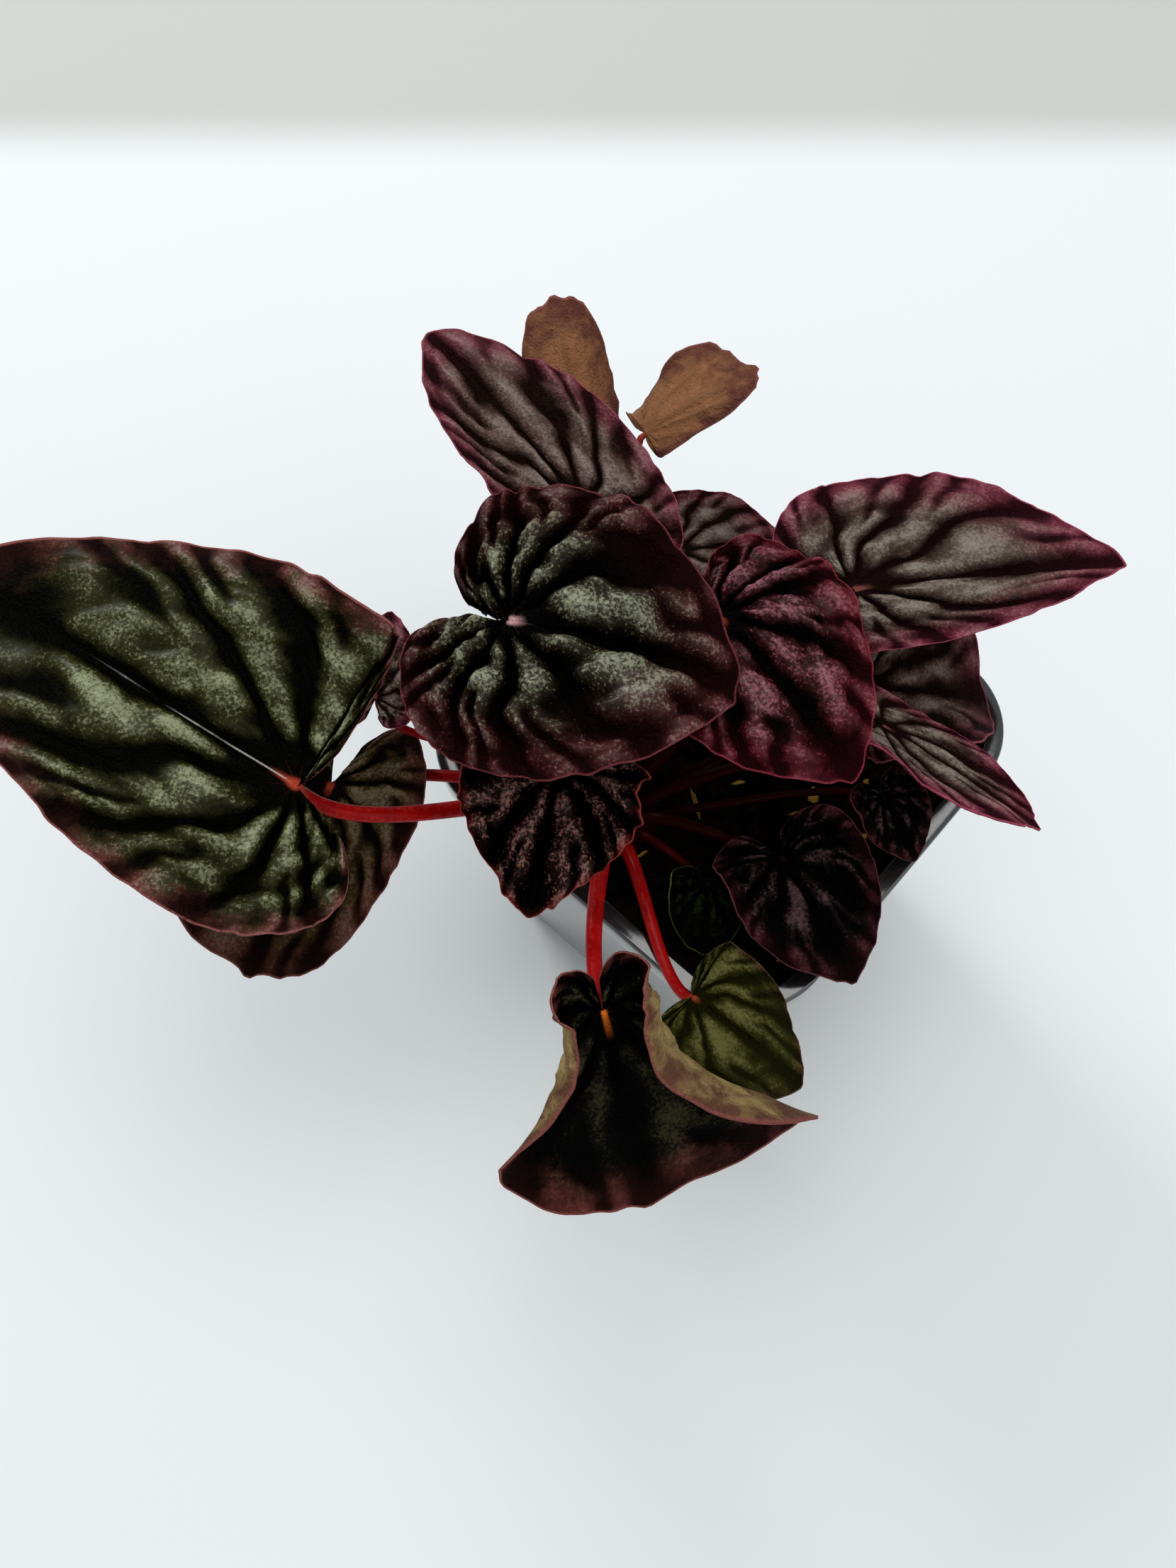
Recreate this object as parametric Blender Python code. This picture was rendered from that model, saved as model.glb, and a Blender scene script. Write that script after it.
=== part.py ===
"""A ripple peperomia growing in a small square nursery pot.

Lengths below are millimetres and angles degrees; MM turns the finished shapes
into metres. The origin is the middle of the pot's underside, +Z is up and -Y
is the side from which the plant is looked at. The pieces are the pot, the
soil, the crown that the plant grows from, and a stalk and a blade for each
leaf. A blade is a fan of raised pads between sunken veins.
"""

import math
from dataclasses import dataclass

import bmesh
import bpy
import numpy as np
from mathutils import Matrix, Vector

MM = 0.001
GAP = 0.3
ROOT_GAP = 0.4

POT_HEIGHT = 76.0
POT_RIM_SIDE = 80.0
POT_BASE_SIDE = 63.0
POT_RIM_RADIUS = 16.0
POT_BASE_RADIUS = 12.0
POT_LIP = 1.6
POT_LIP_DEPTH = 5.0
POT_WALL = 1.5
POT_FLOOR = 2.0
POT_TURN = 48.0
POT_CORNER_STEPS = 8
DRAIN_DIAMETER = 7.0
DRAIN_OFFSET = 19.0
DRAIN_REACH = 2.0
FOOT_BEVEL = 0.8
RIM_BEVEL = 0.7
UNDER_BEVEL = 0.2
UNDER_SLOPE = 0.3

SOIL_TOP = 70.5
SOIL_SHOULDER = 1.5
SOIL_EXTRA_GAP = 0.1
SOIL_CORNER_STEPS = 5
SOIL_ROUGHNESS = 0.9
SOIL_RINGS = (0.0, 0.16, 0.32, 0.48, 0.64, 0.8, 0.92)

CROWN_AT = (-20.0, -14.0)
CROWN_RADIUS = 9.0
CROWN_BOTTOM = 60.0
CROWN_SHOULDER = 72.0
CROWN_RISE = 5.0
CROWN_SIDES = 20

BLADE_THICKNESS = 0.9
PADS = 5
MARGIN_ANGLES = np.radians([0, 9, 17, 34, 52, 72, 92, 110, 128, 145, 160])
MARGIN_RADII = np.array([1.0, 0.91, 0.84, 0.73, 0.65, 0.59, 0.555, 0.53, 0.48, 0.4, 0.24])
MARGIN_WIDEST = 0.555
BLUNT_CUT = 0.2
TIP_ANGLE = math.radians(15)
WAIST_REACH = 0.6
VEIN_BEND = 14.0

STALK_POINTS = 9
STALK_TAPER = 0.75


@dataclass(frozen=True)
class Leaf:
    """One leaf: where its blade joins the stalk, how it lies and how it curls."""

    name: str
    joint: tuple[float, float, float]
    heading: float
    rise: float
    roll: float
    length: float
    width: float
    root_angle: float
    root_radius: float
    stalk: float = 2.4
    grid: tuple[int, int] = (2, 5)
    droop: float = 30.0
    fold: float = 8.0
    cup_left: float = 20.0
    cup_right: float = 20.0
    cup_tip: float = -10.0
    cup_reach: float = 0.7
    side_left: float = 1.0
    side_right: float = 1.0
    lobe_left: float = 1.0
    lobe_right: float = 1.0
    lobe_rise: float = 10.0
    spread: float = 160.0
    waist: float = 1.0
    flare: float = 0.0
    blunt: float = 0.0
    level: float = 0.0
    ripple: float = 1.0
    wave: float = 0.8
    waves: float = 5.0
    phase: float = 0.0
    stalk_lean: float = 45.0
    stalk_back: float = 0.0


LARGE = (3, 6)
CURLED = (3, 9)
SMALL = (1, 4)

LEAVES = (
    Leaf("left_large", (-65, -24, 106), 149, 11, 0, 67, 58, 192, 6.0, 3.0, LARGE, 15,
         cup_left=0, cup_right=34, side_left=0.84, side_right=0.94, lobe_left=0.7,
         lobe_right=0.12, ripple=1.5),
    Leaf("left_under", (-66, -13, 81), -108, 3, 12, 42, 44, 174, 7.5, blunt=0.9,
         side_left=0.72, phase=1.0),
    Leaf("left_small", (-57, -4, 95), 83, 21, 0, 15, 14, 152, 7.5, 1.6, SMALL, 20,
         ripple=0.5),
    Leaf("top_middle", (-34, -5, 120), -15, 9, -5, 35, 43, 130, 3.0, 3.0, LARGE, 40,
         cup_left=-10, cup_right=-25, lobe_left=0.8, lobe_right=1.0, spread=172, ripple=2.0),
    Leaf("right_middle", (-4, 1, 111), -51, 8, 0, 32, 36, 48, 3.5, 2.8, LARGE, 40,
         cup_left=-15, cup_right=-15, lobe_left=0.85, ripple=1.4, phase=2.0),
    Leaf("right_large", (19, 11, 103), 6, 6, 0, 44, 42, 34, 6.5, 2.8, LARGE, 10,
         cup_left=-5, cup_right=-60, side_left=0.93, side_right=0.52, lobe_left=0.8,
         lobe_right=0.4, ripple=1.4),
    Leaf("right_narrow", (24, -8, 93), -40, 9, 18, 34, 20, 2, 6.5, 2.2, droop=10,
         cup_right=20, cup_tip=20, side_left=0.6, side_right=0.9, blunt=0.8, ripple=0.8),
    Leaf("right_under", (24.5, 4.1, 83), 0, 1, 0, 27, 34, 15, 8.0, 2.2,
         cup_left=90, cup_tip=60, lobe_right=0.4, blunt=0.8, ripple=0.9, phase=0.5),
    Leaf("back_large", (-24, 23, 108), 127, 10, 0, 48.5, 34, 96, 5.0, 3.0, LARGE, 20,
         side_left=0.7, side_right=0.78, blunt=0.4, ripple=1.3, phase=1.5),
    Leaf("back_left_young", (-24, 49, 94), 105, 37, 180, 31, 18, 108, 8.0, 1.8, SMALL,
         -20, cup_left=60, cup_right=60, lobe_left=0.1, lobe_right=0.1, blunt=1.0, ripple=0.5,
         stalk_lean=0, stalk_back=1.0),
    Leaf("back_right_young", (-13, 46, 98), 28, 20, 180, 27, 22, 84, 8.0, 1.8, SMALL,
         -20, cup_left=50, cup_right=50, side_left=0.45, side_right=1.1, flare=0.5,
         lobe_left=0.1, lobe_right=0.1, blunt=0.8, ripple=0.5, stalk_lean=0, stalk_back=1.2),
    Leaf("back_under", (-7, 32, 83), 6, 10, 0, 23, 22, 66, 8.0, 2.0, blunt=0.5,
         ripple=0.8),
    Leaf("front_small", (-27.5, -20.5, 104), -102, -13, 0, 23, 28, 235, 4.0, 2.4,
         LARGE, 10, cup_left=30, cup_right=30, cup_tip=0, lobe_left=0.6, lobe_right=0.6,
         flare=-0.3, ripple=1.4, wave=1.2),
    Leaf("front_cone", (-21, -54, 94), -75, -37, 0, 38, 62, 268, 6.5, 3.0, CURLED, 0,
         fold=5, cup_left=370, cup_right=420, cup_tip=0, cup_reach=0.75, side_left=1.08,
         side_right=0.78, lobe_left=0.6, lobe_right=0.6, lobe_rise=25, spread=176, waist=0.45,
         blunt=0.7, level=0.4, ripple=1.0),
    Leaf("front_under", (-7, -49, 82), -37, -1, 0, 22, 27, 292, 8.0, 2.4,
         side_left=0.75, lobe_left=0.3, lobe_right=0.3, phase=1.0),
    Leaf("front_right", (8.5, -25.5, 80), -64, 10, 0, 25, 25, 338, 7.0, 2.2,
         droop=25, lobe_left=0.7, lobe_right=0.7, blunt=0.3),
    Leaf("right_round", (25.8, -15.6, 81.6), -62, -5, 0, 12, 13, 352, 8.5, 1.6, SMALL,
         ripple=0.4, wave=0.3),
    Leaf("soil_small", (-3.5, -28.8, 76.8), -95, 6, 0, 14, 13, 318, 8.0, 1.6, SMALL,
         lobe_left=0.5, lobe_right=0.5, blunt=0.6, ripple=0.4, wave=0.3),
    Leaf("right_bud", (28, 16, 84), -72, -3, 0, 6, 8, 42, 8.6, 1.4, SMALL,
         ripple=0.2, wave=0.1),
)


def remove_everything():
    """Empty the scene."""
    for item in list(bpy.data.objects):
        bpy.data.objects.remove(item, do_unlink=True)


def make_material(name, color, roughness):
    """Make a plain Principled material."""
    material = bpy.data.materials.new(name)
    material.use_nodes = True
    shader = material.node_tree.nodes["Principled BSDF"]
    shader.inputs["Base Color"].default_value = (*color, 1.0)
    shader.inputs["Roughness"].default_value = roughness
    shader.inputs["Metallic"].default_value = 0.0
    material.diffuse_color = (*color, 1.0)
    return material


def make_object(name, points, faces, material, smooth_angle=40.0):
    """Make an object from points in millimetres and lists of corner indices."""
    mesh = bpy.data.meshes.new(name)
    mesh.from_pydata([tuple(float(value) * MM for value in point) for point in points], [], faces)
    mesh.materials.append(material)
    mesh.shade_smooth()
    mesh.set_sharp_from_angle(angle=math.radians(smooth_angle))
    item = bpy.data.objects.new(name, mesh)
    bpy.context.scene.collection.objects.link(item)
    return item


def smoothstep(value):
    """Ease from 0 to 1."""
    value = np.clip(value, 0.0, 1.0)
    return value * value * (3.0 - 2.0 * value)


def margin_radius(angle):
    """Reach of the leaf's outline at an angle from its midrib, for a length of 1."""
    slopes = np.gradient(MARGIN_RADII, MARGIN_ANGLES)
    index = np.clip(np.searchsorted(MARGIN_ANGLES, angle) - 1, 0, len(MARGIN_ANGLES) - 2)
    span = MARGIN_ANGLES[index + 1] - MARGIN_ANGLES[index]
    along = (angle - MARGIN_ANGLES[index]) / span
    square, cube = along**2, along**3
    return (
        (2 * cube - 3 * square + 1) * MARGIN_RADII[index]
        + (cube - 2 * square + along) * span * slopes[index]
        + (3 * square - 2 * cube) * MARGIN_RADII[index + 1]
        + (cube - square) * span * slopes[index + 1]
    )


def flat_blade(leaf, vein, reach):
    """Flat place on the blade: vein -1 to 1 round the joint, reach 0 to 1 to the margin."""
    opened = np.abs(vein) * MARGIN_ANGLES[-1]
    radius = margin_radius(opened) - BLUNT_CUT * leaf.blunt * np.exp(-((opened / TIP_ANGLE) ** 2))
    angle = np.abs(vein) * math.radians(leaf.spread)
    start = angle + math.radians(VEIN_BEND) * np.sin(np.pi * np.abs(vein))
    ease, rest = reach * (1 - reach), reach * reach
    across = radius * (ease * np.sin(start) + rest * np.sin(angle))
    along = radius * (ease * np.cos(start) + rest * np.cos(angle))
    across = np.sign(vein) * across * 0.5 * leaf.width / MARGIN_WIDEST
    across = across * np.where(vein < 0, leaf.side_left, leaf.side_right)
    across = across * (leaf.waist + (1 - leaf.waist) * smoothstep(along / WAIST_REACH))
    across = across * (1 + leaf.flare * smoothstep((along - 0.25) / 0.75))
    lobe = np.where(vein < 0, leaf.lobe_left, leaf.lobe_right)
    along = leaf.length * np.where(along < 0, along * lobe, along)
    return across, along


def bent_blade(leaf, vein, reach):
    """Smooth middle surface of the blade, with its droop, lobes and cupped sides."""
    across, along = flat_blade(leaf, vein, reach)
    droop = math.radians(leaf.droop or 0.001) / leaf.length
    lift = math.radians(leaf.lobe_rise) / (0.35 * leaf.length)
    ahead = along >= 0
    turn = np.where(ahead, droop * along, -lift * along)
    spine_y = np.where(ahead, np.sin(droop * along) / droop, np.sin(lift * along) / lift)
    spine_z = np.where(
        ahead, (np.cos(droop * along) - 1) / droop, (1 - np.cos(lift * along)) / lift
    )
    base = np.where(across < 0, leaf.cup_left, leaf.cup_right)
    cup = base + (leaf.cup_tip - base) * smoothstep(along / (leaf.cup_reach * leaf.length))
    curve = np.radians(cup) / (0.5 * leaf.width)
    curve = np.where(np.abs(curve) < 1e-6, 1e-6, curve)
    fold = math.radians(leaf.fold)
    narrow = leaf.waist + (1 - leaf.waist) * smoothstep(along / (WAIST_REACH * leaf.length))
    straight = np.minimum(np.abs(across), 0.5 * leaf.width * leaf.level * narrow**2)
    swept = fold + curve * (np.abs(across) - straight)
    side = straight * math.cos(fold) + (np.sin(swept) - math.sin(fold)) / curve
    side = np.sign(across) * side
    rise = straight * math.sin(fold) + (math.cos(fold) - np.cos(swept)) / curve
    return np.stack([side, spine_y + rise * np.sin(turn), spine_z + rise * np.cos(turn)], -1)


def blade_normals(leaf, vein, reach):
    """Unit normals of the smooth middle surface, on the leaf's upper side."""
    step = 0.01
    reach = np.clip(reach, 0.08, 1.0)
    sideways = bent_blade(leaf, vein + step, reach) - bent_blade(leaf, vein - step, reach)
    outward = bent_blade(leaf, vein, reach + step) - bent_blade(leaf, vein, reach - step)
    normals = np.cross(sideways, outward)
    return normals / np.linalg.norm(normals, axis=-1, keepdims=True)


def relief(leaf, vein, reach):
    """Height of the pads between the veins and of the waved margin."""
    pad = np.abs(np.sin(np.pi * np.abs(vein) * PADS)) ** 0.8
    fade = smoothstep(reach / 0.35) * (1 - 0.55 * smoothstep((reach - 0.75) / 0.25))
    wave = leaf.wave * np.sin(vein * np.pi * leaf.waves + leaf.phase) * reach**3
    return leaf.ripple * fade * (pad - 0.5) + wave


def blade_axes(leaf):
    """Right, forward and up directions of the blade at its joint."""
    heading, rise, roll = (math.radians(value) for value in (leaf.heading, leaf.rise, leaf.roll))
    forward = Vector(
        (
            math.cos(heading) * math.cos(rise),
            math.sin(heading) * math.cos(rise),
            math.sin(rise),
        )
    )
    level = Vector((math.sin(heading), -math.cos(heading), 0.0))
    turn = Matrix.Rotation(-roll, 3, forward)
    right = turn @ level
    return right, forward, right.cross(forward)


def build_blade(leaf, material):
    """Make one blade as a closed sheet with the same relief on both faces."""
    per_pad, rows = leaf.grid
    columns = 2 * PADS * per_pad
    vein, reach = np.meshgrid(
        np.linspace(-1, 1, columns + 1), np.linspace(0, 1, rows + 1)[1:], indexing="ij"
    )
    normals = blade_normals(leaf, vein, reach)
    upper = bent_blade(leaf, vein, reach) + normals * relief(leaf, vein, reach)[..., None]
    lower = upper - normals * BLADE_THICKNESS
    middle = np.array([[0.0, 0.0, 0.0], [0.0, 0.0, -BLADE_THICKNESS]])
    local = np.concatenate([upper.reshape(-1, 3), lower.reshape(-1, 3), middle])
    points = local @ np.array(blade_axes(leaf)) + np.array(leaf.joint)

    face_size = (columns + 1) * rows
    top, bottom = 2 * face_size, 2 * face_size + 1

    def at(column, row, under=0):
        return column * rows + row + under * face_size

    faces = []
    for column in range(columns):
        faces.append((top, at(column, 0), at(column + 1, 0))[::-1])
        faces.append((bottom, at(column, 0, 1), at(column + 1, 0, 1)))
        for row in range(rows - 1):
            corners = [(column, row), (column + 1, row), (column + 1, row + 1), (column, row + 1)]
            for triangle in ((0, 1, 2), (0, 2, 3)):
                faces.append([at(*corners[corner]) for corner in triangle])
                faces.append([at(*corners[corner], 1) for corner in reversed(triangle)])
        faces.append((at(column, rows - 1), at(column + 1, rows - 1), at(column + 1, rows - 1, 1)))
        faces.append((at(column, rows - 1), at(column + 1, rows - 1, 1), at(column, rows - 1, 1)))
    for column, turned in ((0, False), (columns, True)):
        walls = [
            (top, at(column, 0), at(column, 0, 1)),
            (top, at(column, 0, 1), bottom),
        ]
        for row in range(rows - 1):
            walls.append((at(column, row), at(column, row + 1), at(column, row + 1, 1)))
            walls.append((at(column, row), at(column, row + 1, 1), at(column, row, 1)))
        faces.extend(wall[::-1] if turned else wall for wall in walls)
    blade = make_object(f"blade_{leaf.name}", points, faces, material)
    face_outward(blade)
    return blade


def face_outward(item):
    """Turn every face of a closed body outward."""
    shape = bmesh.new()
    shape.from_mesh(item.data)
    bmesh.ops.recalc_face_normals(shape, faces=shape.faces)
    if shape.calc_volume(signed=True) < 0:
        bmesh.ops.reverse_faces(shape, faces=shape.faces)
    shape.to_mesh(item.data)
    shape.free()


def crown_root(leaf):
    """Place on the crown's dome where a stalk starts, and the dome's normal there."""
    angle = math.radians(leaf.root_angle)
    flat = Vector((math.cos(angle), math.sin(angle), 0.0)) * leaf.root_radius
    height = CROWN_RISE * math.sqrt(1 - (leaf.root_radius / CROWN_RADIUS) ** 2)
    normal = flat / CROWN_RADIUS**2 + Vector((0.0, 0.0, height / CROWN_RISE**2))
    place = Vector((*CROWN_AT, CROWN_SHOULDER + height)) + flat
    return place, normal.normalized()


def stalk_route(leaf):
    """Points from the crown to just under the blade's joint, on one Bezier curve."""
    right, forward, up = blade_axes(leaf)
    lean = math.radians(leaf.stalk_lean)
    joint = Vector(leaf.joint)
    if leaf.stalk_back:
        end = joint - forward * leaf.stalk_back
    else:
        end = joint - up * (BLADE_THICKNESS + GAP + 0.5 * leaf.stalk * STALK_TAPER)
    start, leaving = crown_root(leaf)
    start = start + leaving * ROOT_GAP
    span = (end - start).length
    arriving = forward * math.cos(lean) + up * math.sin(lean)
    if leaf.stalk_back:
        arriving = (forward + 2 * (end - start) / span).normalized()
    controls = (start, start + leaving * 0.35 * span, end - arriving * 0.3 * span, end)
    points = []
    for step in range(STALK_POINTS):
        along = step / (STALK_POINTS - 1)
        rest = 1 - along
        weights = (rest**3, 3 * rest**2 * along, 3 * rest * along**2, along**3)
        points.append(sum((c * w for c, w in zip(controls, weights)), Vector()))
    return points


def build_stalk(leaf, material):
    """Make one leaf stalk as a tapering tube with filled ends."""
    curve = bpy.data.curves.new(f"stalk_{leaf.name}", "CURVE")
    curve.dimensions = "3D"
    curve.bevel_depth = 0.5 * leaf.stalk * MM
    curve.bevel_resolution = 2
    curve.use_fill_caps = True
    points = stalk_route(leaf)
    spline = curve.splines.new("POLY")
    spline.points.add(len(points) - 1)
    for index, (target, point) in enumerate(zip(spline.points, points)):
        along = index / (len(points) - 1)
        target.co = (*(point * MM), 1.0)
        target.radius = 1.0 - (1.0 - STALK_TAPER) * along
    curve.materials.append(material)
    stalk = bpy.data.objects.new(f"stalk_{leaf.name}", curve)
    bpy.context.scene.collection.objects.link(stalk)
    return stalk


def rounded_square(side, radius, height, steps=POT_CORNER_STEPS):
    """Points round a square with rounded corners, turned as the pot stands."""
    points = []
    middle = 0.5 * side - radius
    for corner in range(4):
        for step in range(steps + 1):
            angle = math.radians(90 * (corner + step / steps))
            sign_x = 1 if corner in (0, 3) else -1
            sign_y = 1 if corner in (0, 1) else -1
            flat = Vector(
                (
                    sign_x * middle + radius * math.cos(angle),
                    sign_y * middle + radius * math.sin(angle),
                    height,
                )
            )
            points.append(Matrix.Rotation(math.radians(POT_TURN), 3, "Z") @ flat)
    return points


def loft(rings):
    """Join equal rings into walls and close the first and the last with a face."""
    count = len(rings[0])
    points = [point for ring in rings for point in ring]
    faces = [tuple(range(count))[::-1], tuple(range((len(rings) - 1) * count, len(points)))]
    for ring in range(len(rings) - 1):
        for index in range(count):
            after = (index + 1) % count
            lower, upper = ring * count, (ring + 1) * count
            faces.append((lower + index, lower + after, upper + after, upper + index))
    return points, faces


def wall_size(height):
    """Side and corner radius of the pot's outer wall at a height."""
    share = height / POT_HEIGHT
    side = POT_BASE_SIDE + (POT_RIM_SIDE - 2 * POT_LIP - POT_BASE_SIDE) * share
    radius = POT_BASE_RADIUS + (POT_RIM_RADIUS - POT_LIP - POT_BASE_RADIUS) * share
    return side, radius


def inner_size(height, clearance=0.0):
    """Side and corner radius inside the pot at a height."""
    side, radius = wall_size(height)
    inset = POT_WALL + clearance
    return side - 2 * inset, radius - inset


def cut(item, cutter):
    """Subtract a cutter and remove it."""
    modifier = item.modifiers.new("cut", "BOOLEAN")
    modifier.object = cutter
    modifier.operation = "DIFFERENCE"
    modifier.solver = "EXACT"
    cutter.hide_render = True
    cutter.display_type = "WIRE"
    bpy.context.view_layer.update()
    graph = bpy.context.evaluated_depsgraph_get()
    cut_mesh = bpy.data.meshes.new_from_object(item.evaluated_get(graph))
    item.modifiers.clear()
    item.data = cut_mesh
    bpy.data.objects.remove(cutter, do_unlink=True)


def cylinder(radius, bottom, top, at, sides=16):
    """Make a plain upright cylinder to cut with."""
    shape = bmesh.new()
    bmesh.ops.create_cone(
        shape, cap_ends=True, segments=sides, radius1=radius * MM, radius2=radius * MM,
        depth=(top - bottom) * MM,
    )
    mesh = bpy.data.meshes.new("cutter")
    shape.to_mesh(mesh)
    shape.free()
    item = bpy.data.objects.new("cutter", mesh)
    item.location = (at[0] * MM, at[1] * MM, 0.5 * (bottom + top) * MM)
    bpy.context.scene.collection.objects.link(item)
    return item


def build_pot(material):
    """Make the hollow tapered pot with a lip round its rim and drain holes."""
    lip_bottom = POT_HEIGHT - POT_LIP_DEPTH
    foot_side, foot_radius = wall_size(0)
    under_side = POT_RIM_SIDE - 2 * UNDER_BEVEL
    rim_side = POT_RIM_SIDE - 2 * RIM_BEVEL
    rings = [
        rounded_square(foot_side - 2 * FOOT_BEVEL, foot_radius - FOOT_BEVEL, 0.0),
        rounded_square(foot_side, foot_radius, FOOT_BEVEL),
        rounded_square(*wall_size(lip_bottom), lip_bottom),
        rounded_square(under_side, POT_RIM_RADIUS - UNDER_BEVEL, lip_bottom + UNDER_SLOPE),
        rounded_square(POT_RIM_SIDE, POT_RIM_RADIUS, lip_bottom + FOOT_BEVEL),
        rounded_square(POT_RIM_SIDE, POT_RIM_RADIUS, POT_HEIGHT - RIM_BEVEL),
        rounded_square(rim_side, POT_RIM_RADIUS - RIM_BEVEL, POT_HEIGHT),
        rounded_square(*inner_size(POT_HEIGHT), POT_HEIGHT),
        rounded_square(*inner_size(POT_FLOOR), POT_FLOOR),
    ]
    pot = make_object("pot", *loft(rings), material, 50.0)
    for quarter in range(4):
        angle = math.radians(POT_TURN + 90 * quarter)
        at = (DRAIN_OFFSET * math.cos(angle), DRAIN_OFFSET * math.sin(angle))
        cut(pot, cylinder(0.5 * DRAIN_DIAMETER, -DRAIN_REACH, POT_FLOOR + DRAIN_REACH, at))
    return pot


def soil_height(x, y):
    """Height of the rough soil at a place."""
    rough = math.sin(0.42 * x + 1.3) * math.cos(0.37 * y - 0.6)
    rough += 0.6 * math.sin(0.81 * x - 0.55 * y) + 0.5 * math.cos(0.66 * x + 0.93 * y + 2.0)
    return SOIL_TOP + SOIL_ROUGHNESS * rough


def build_soil(material):
    """Make the soil block with its rough top and a plain hole for the crown."""
    bottom = POT_FLOOR + GAP
    shoulder = SOIL_TOP - SOIL_SHOULDER
    clearance = GAP + SOIL_EXTRA_GAP
    rings = [
        rounded_square(*inner_size(bottom, clearance), bottom, SOIL_CORNER_STEPS),
        rounded_square(*inner_size(shoulder, clearance), shoulder, SOIL_CORNER_STEPS),
    ]
    outer = rings[-1]
    for share in reversed(SOIL_RINGS[1:]):
        rings.append(
            [Vector((p.x * share, p.y * share, soil_height(p.x * share, p.y * share))) for p in outer]
        )
    points, faces = loft(rings)
    last = len(points) - len(outer)
    faces.pop(1)
    points.append(Vector((0.0, 0.0, soil_height(0.0, 0.0))))
    for index in range(len(outer)):
        faces.append((last + index, last + (index + 1) % len(outer), len(points) - 1))
    soil = make_object("soil", points, faces, material, 60.0)
    hole = cylinder(
        CROWN_RADIUS + GAP, CROWN_BOTTOM - GAP, POT_HEIGHT + 5, CROWN_AT, CROWN_SIDES
    )
    cut(soil, hole)
    return soil


def build_crown(material):
    """Make the short domed stump that every stalk grows from."""
    profile = [
        (0.8 * CROWN_RADIUS, CROWN_BOTTOM),
        (CROWN_RADIUS, CROWN_BOTTOM + 2.0),
        (CROWN_RADIUS, CROWN_SHOULDER),
    ]
    for angle in (22, 45, 68):
        bend = math.radians(angle)
        profile.append(
            (CROWN_RADIUS * math.cos(bend), CROWN_SHOULDER + CROWN_RISE * math.sin(bend))
        )
    rings = []
    for radius, height in profile:
        ring = []
        for side in range(CROWN_SIDES):
            angle = 2 * math.pi * side / CROWN_SIDES
            ring.append(
                Vector(
                    (
                        CROWN_AT[0] + radius * math.cos(angle),
                        CROWN_AT[1] + radius * math.sin(angle),
                        height,
                    )
                )
            )
        rings.append(ring)
    return make_object("crown", *loft(rings), material, 50.0)


def build():
    """Make the whole plant in its pot."""
    remove_everything()
    build_pot(make_material("black plastic", (0.012, 0.012, 0.013), 0.45))
    build_soil(make_material("soil", (0.022, 0.015, 0.011), 0.95))
    stalk_red = make_material("red stalk", (0.42, 0.02, 0.03), 0.3)
    build_crown(stalk_red)
    blade_dark = make_material("dark leaf", (0.075, 0.05, 0.045), 0.45)
    for leaf in LEAVES:
        build_stalk(leaf, stalk_red)
        build_blade(leaf, blade_dark)


build()
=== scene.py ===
"""Looks of a ripple peperomia in a small square nursery pot.

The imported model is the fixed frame. Each blade is grown again here from its solid's outline
and bends, with finer pads, bumps and a crinkled margin. Each stalk follows its solid's
curve, and crumbs and bark lie on the soil. Lengths are millimetres and angles degrees, as
in the part's source, and MM turns meshes into metres; finishes and studio are in metres.
"""

import logging
import math
from dataclasses import dataclass, field
from enum import Enum
from typing import ClassVar, Union

import bpy
import numpy as np
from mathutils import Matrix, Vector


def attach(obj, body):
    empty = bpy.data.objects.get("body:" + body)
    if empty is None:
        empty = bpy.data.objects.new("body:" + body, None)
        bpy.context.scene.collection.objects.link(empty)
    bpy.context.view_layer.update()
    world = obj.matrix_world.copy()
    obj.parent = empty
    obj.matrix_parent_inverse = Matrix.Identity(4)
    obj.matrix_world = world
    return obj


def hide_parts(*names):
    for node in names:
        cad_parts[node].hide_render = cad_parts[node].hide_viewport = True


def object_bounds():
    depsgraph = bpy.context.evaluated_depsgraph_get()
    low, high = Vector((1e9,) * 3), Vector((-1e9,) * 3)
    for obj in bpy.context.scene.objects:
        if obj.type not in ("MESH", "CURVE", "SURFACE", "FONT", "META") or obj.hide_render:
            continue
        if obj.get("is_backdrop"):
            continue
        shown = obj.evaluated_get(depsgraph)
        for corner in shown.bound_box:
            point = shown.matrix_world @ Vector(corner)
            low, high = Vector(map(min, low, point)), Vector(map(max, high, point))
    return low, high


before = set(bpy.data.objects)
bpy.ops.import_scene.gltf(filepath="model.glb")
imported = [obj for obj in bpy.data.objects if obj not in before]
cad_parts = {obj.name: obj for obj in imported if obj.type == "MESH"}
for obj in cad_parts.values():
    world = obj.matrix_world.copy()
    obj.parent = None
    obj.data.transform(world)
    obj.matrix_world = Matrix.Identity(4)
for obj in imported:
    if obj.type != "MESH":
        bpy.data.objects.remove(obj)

LOG = logging.getLogger("peperomia")
MM = 0.001
BODY = "root"

Color = tuple[float, float, float]
Span = tuple[float, float]
Array = np.ndarray
Value = Union[float, "Wire"]
Paint = Union[Color, "Wire"]


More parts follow.
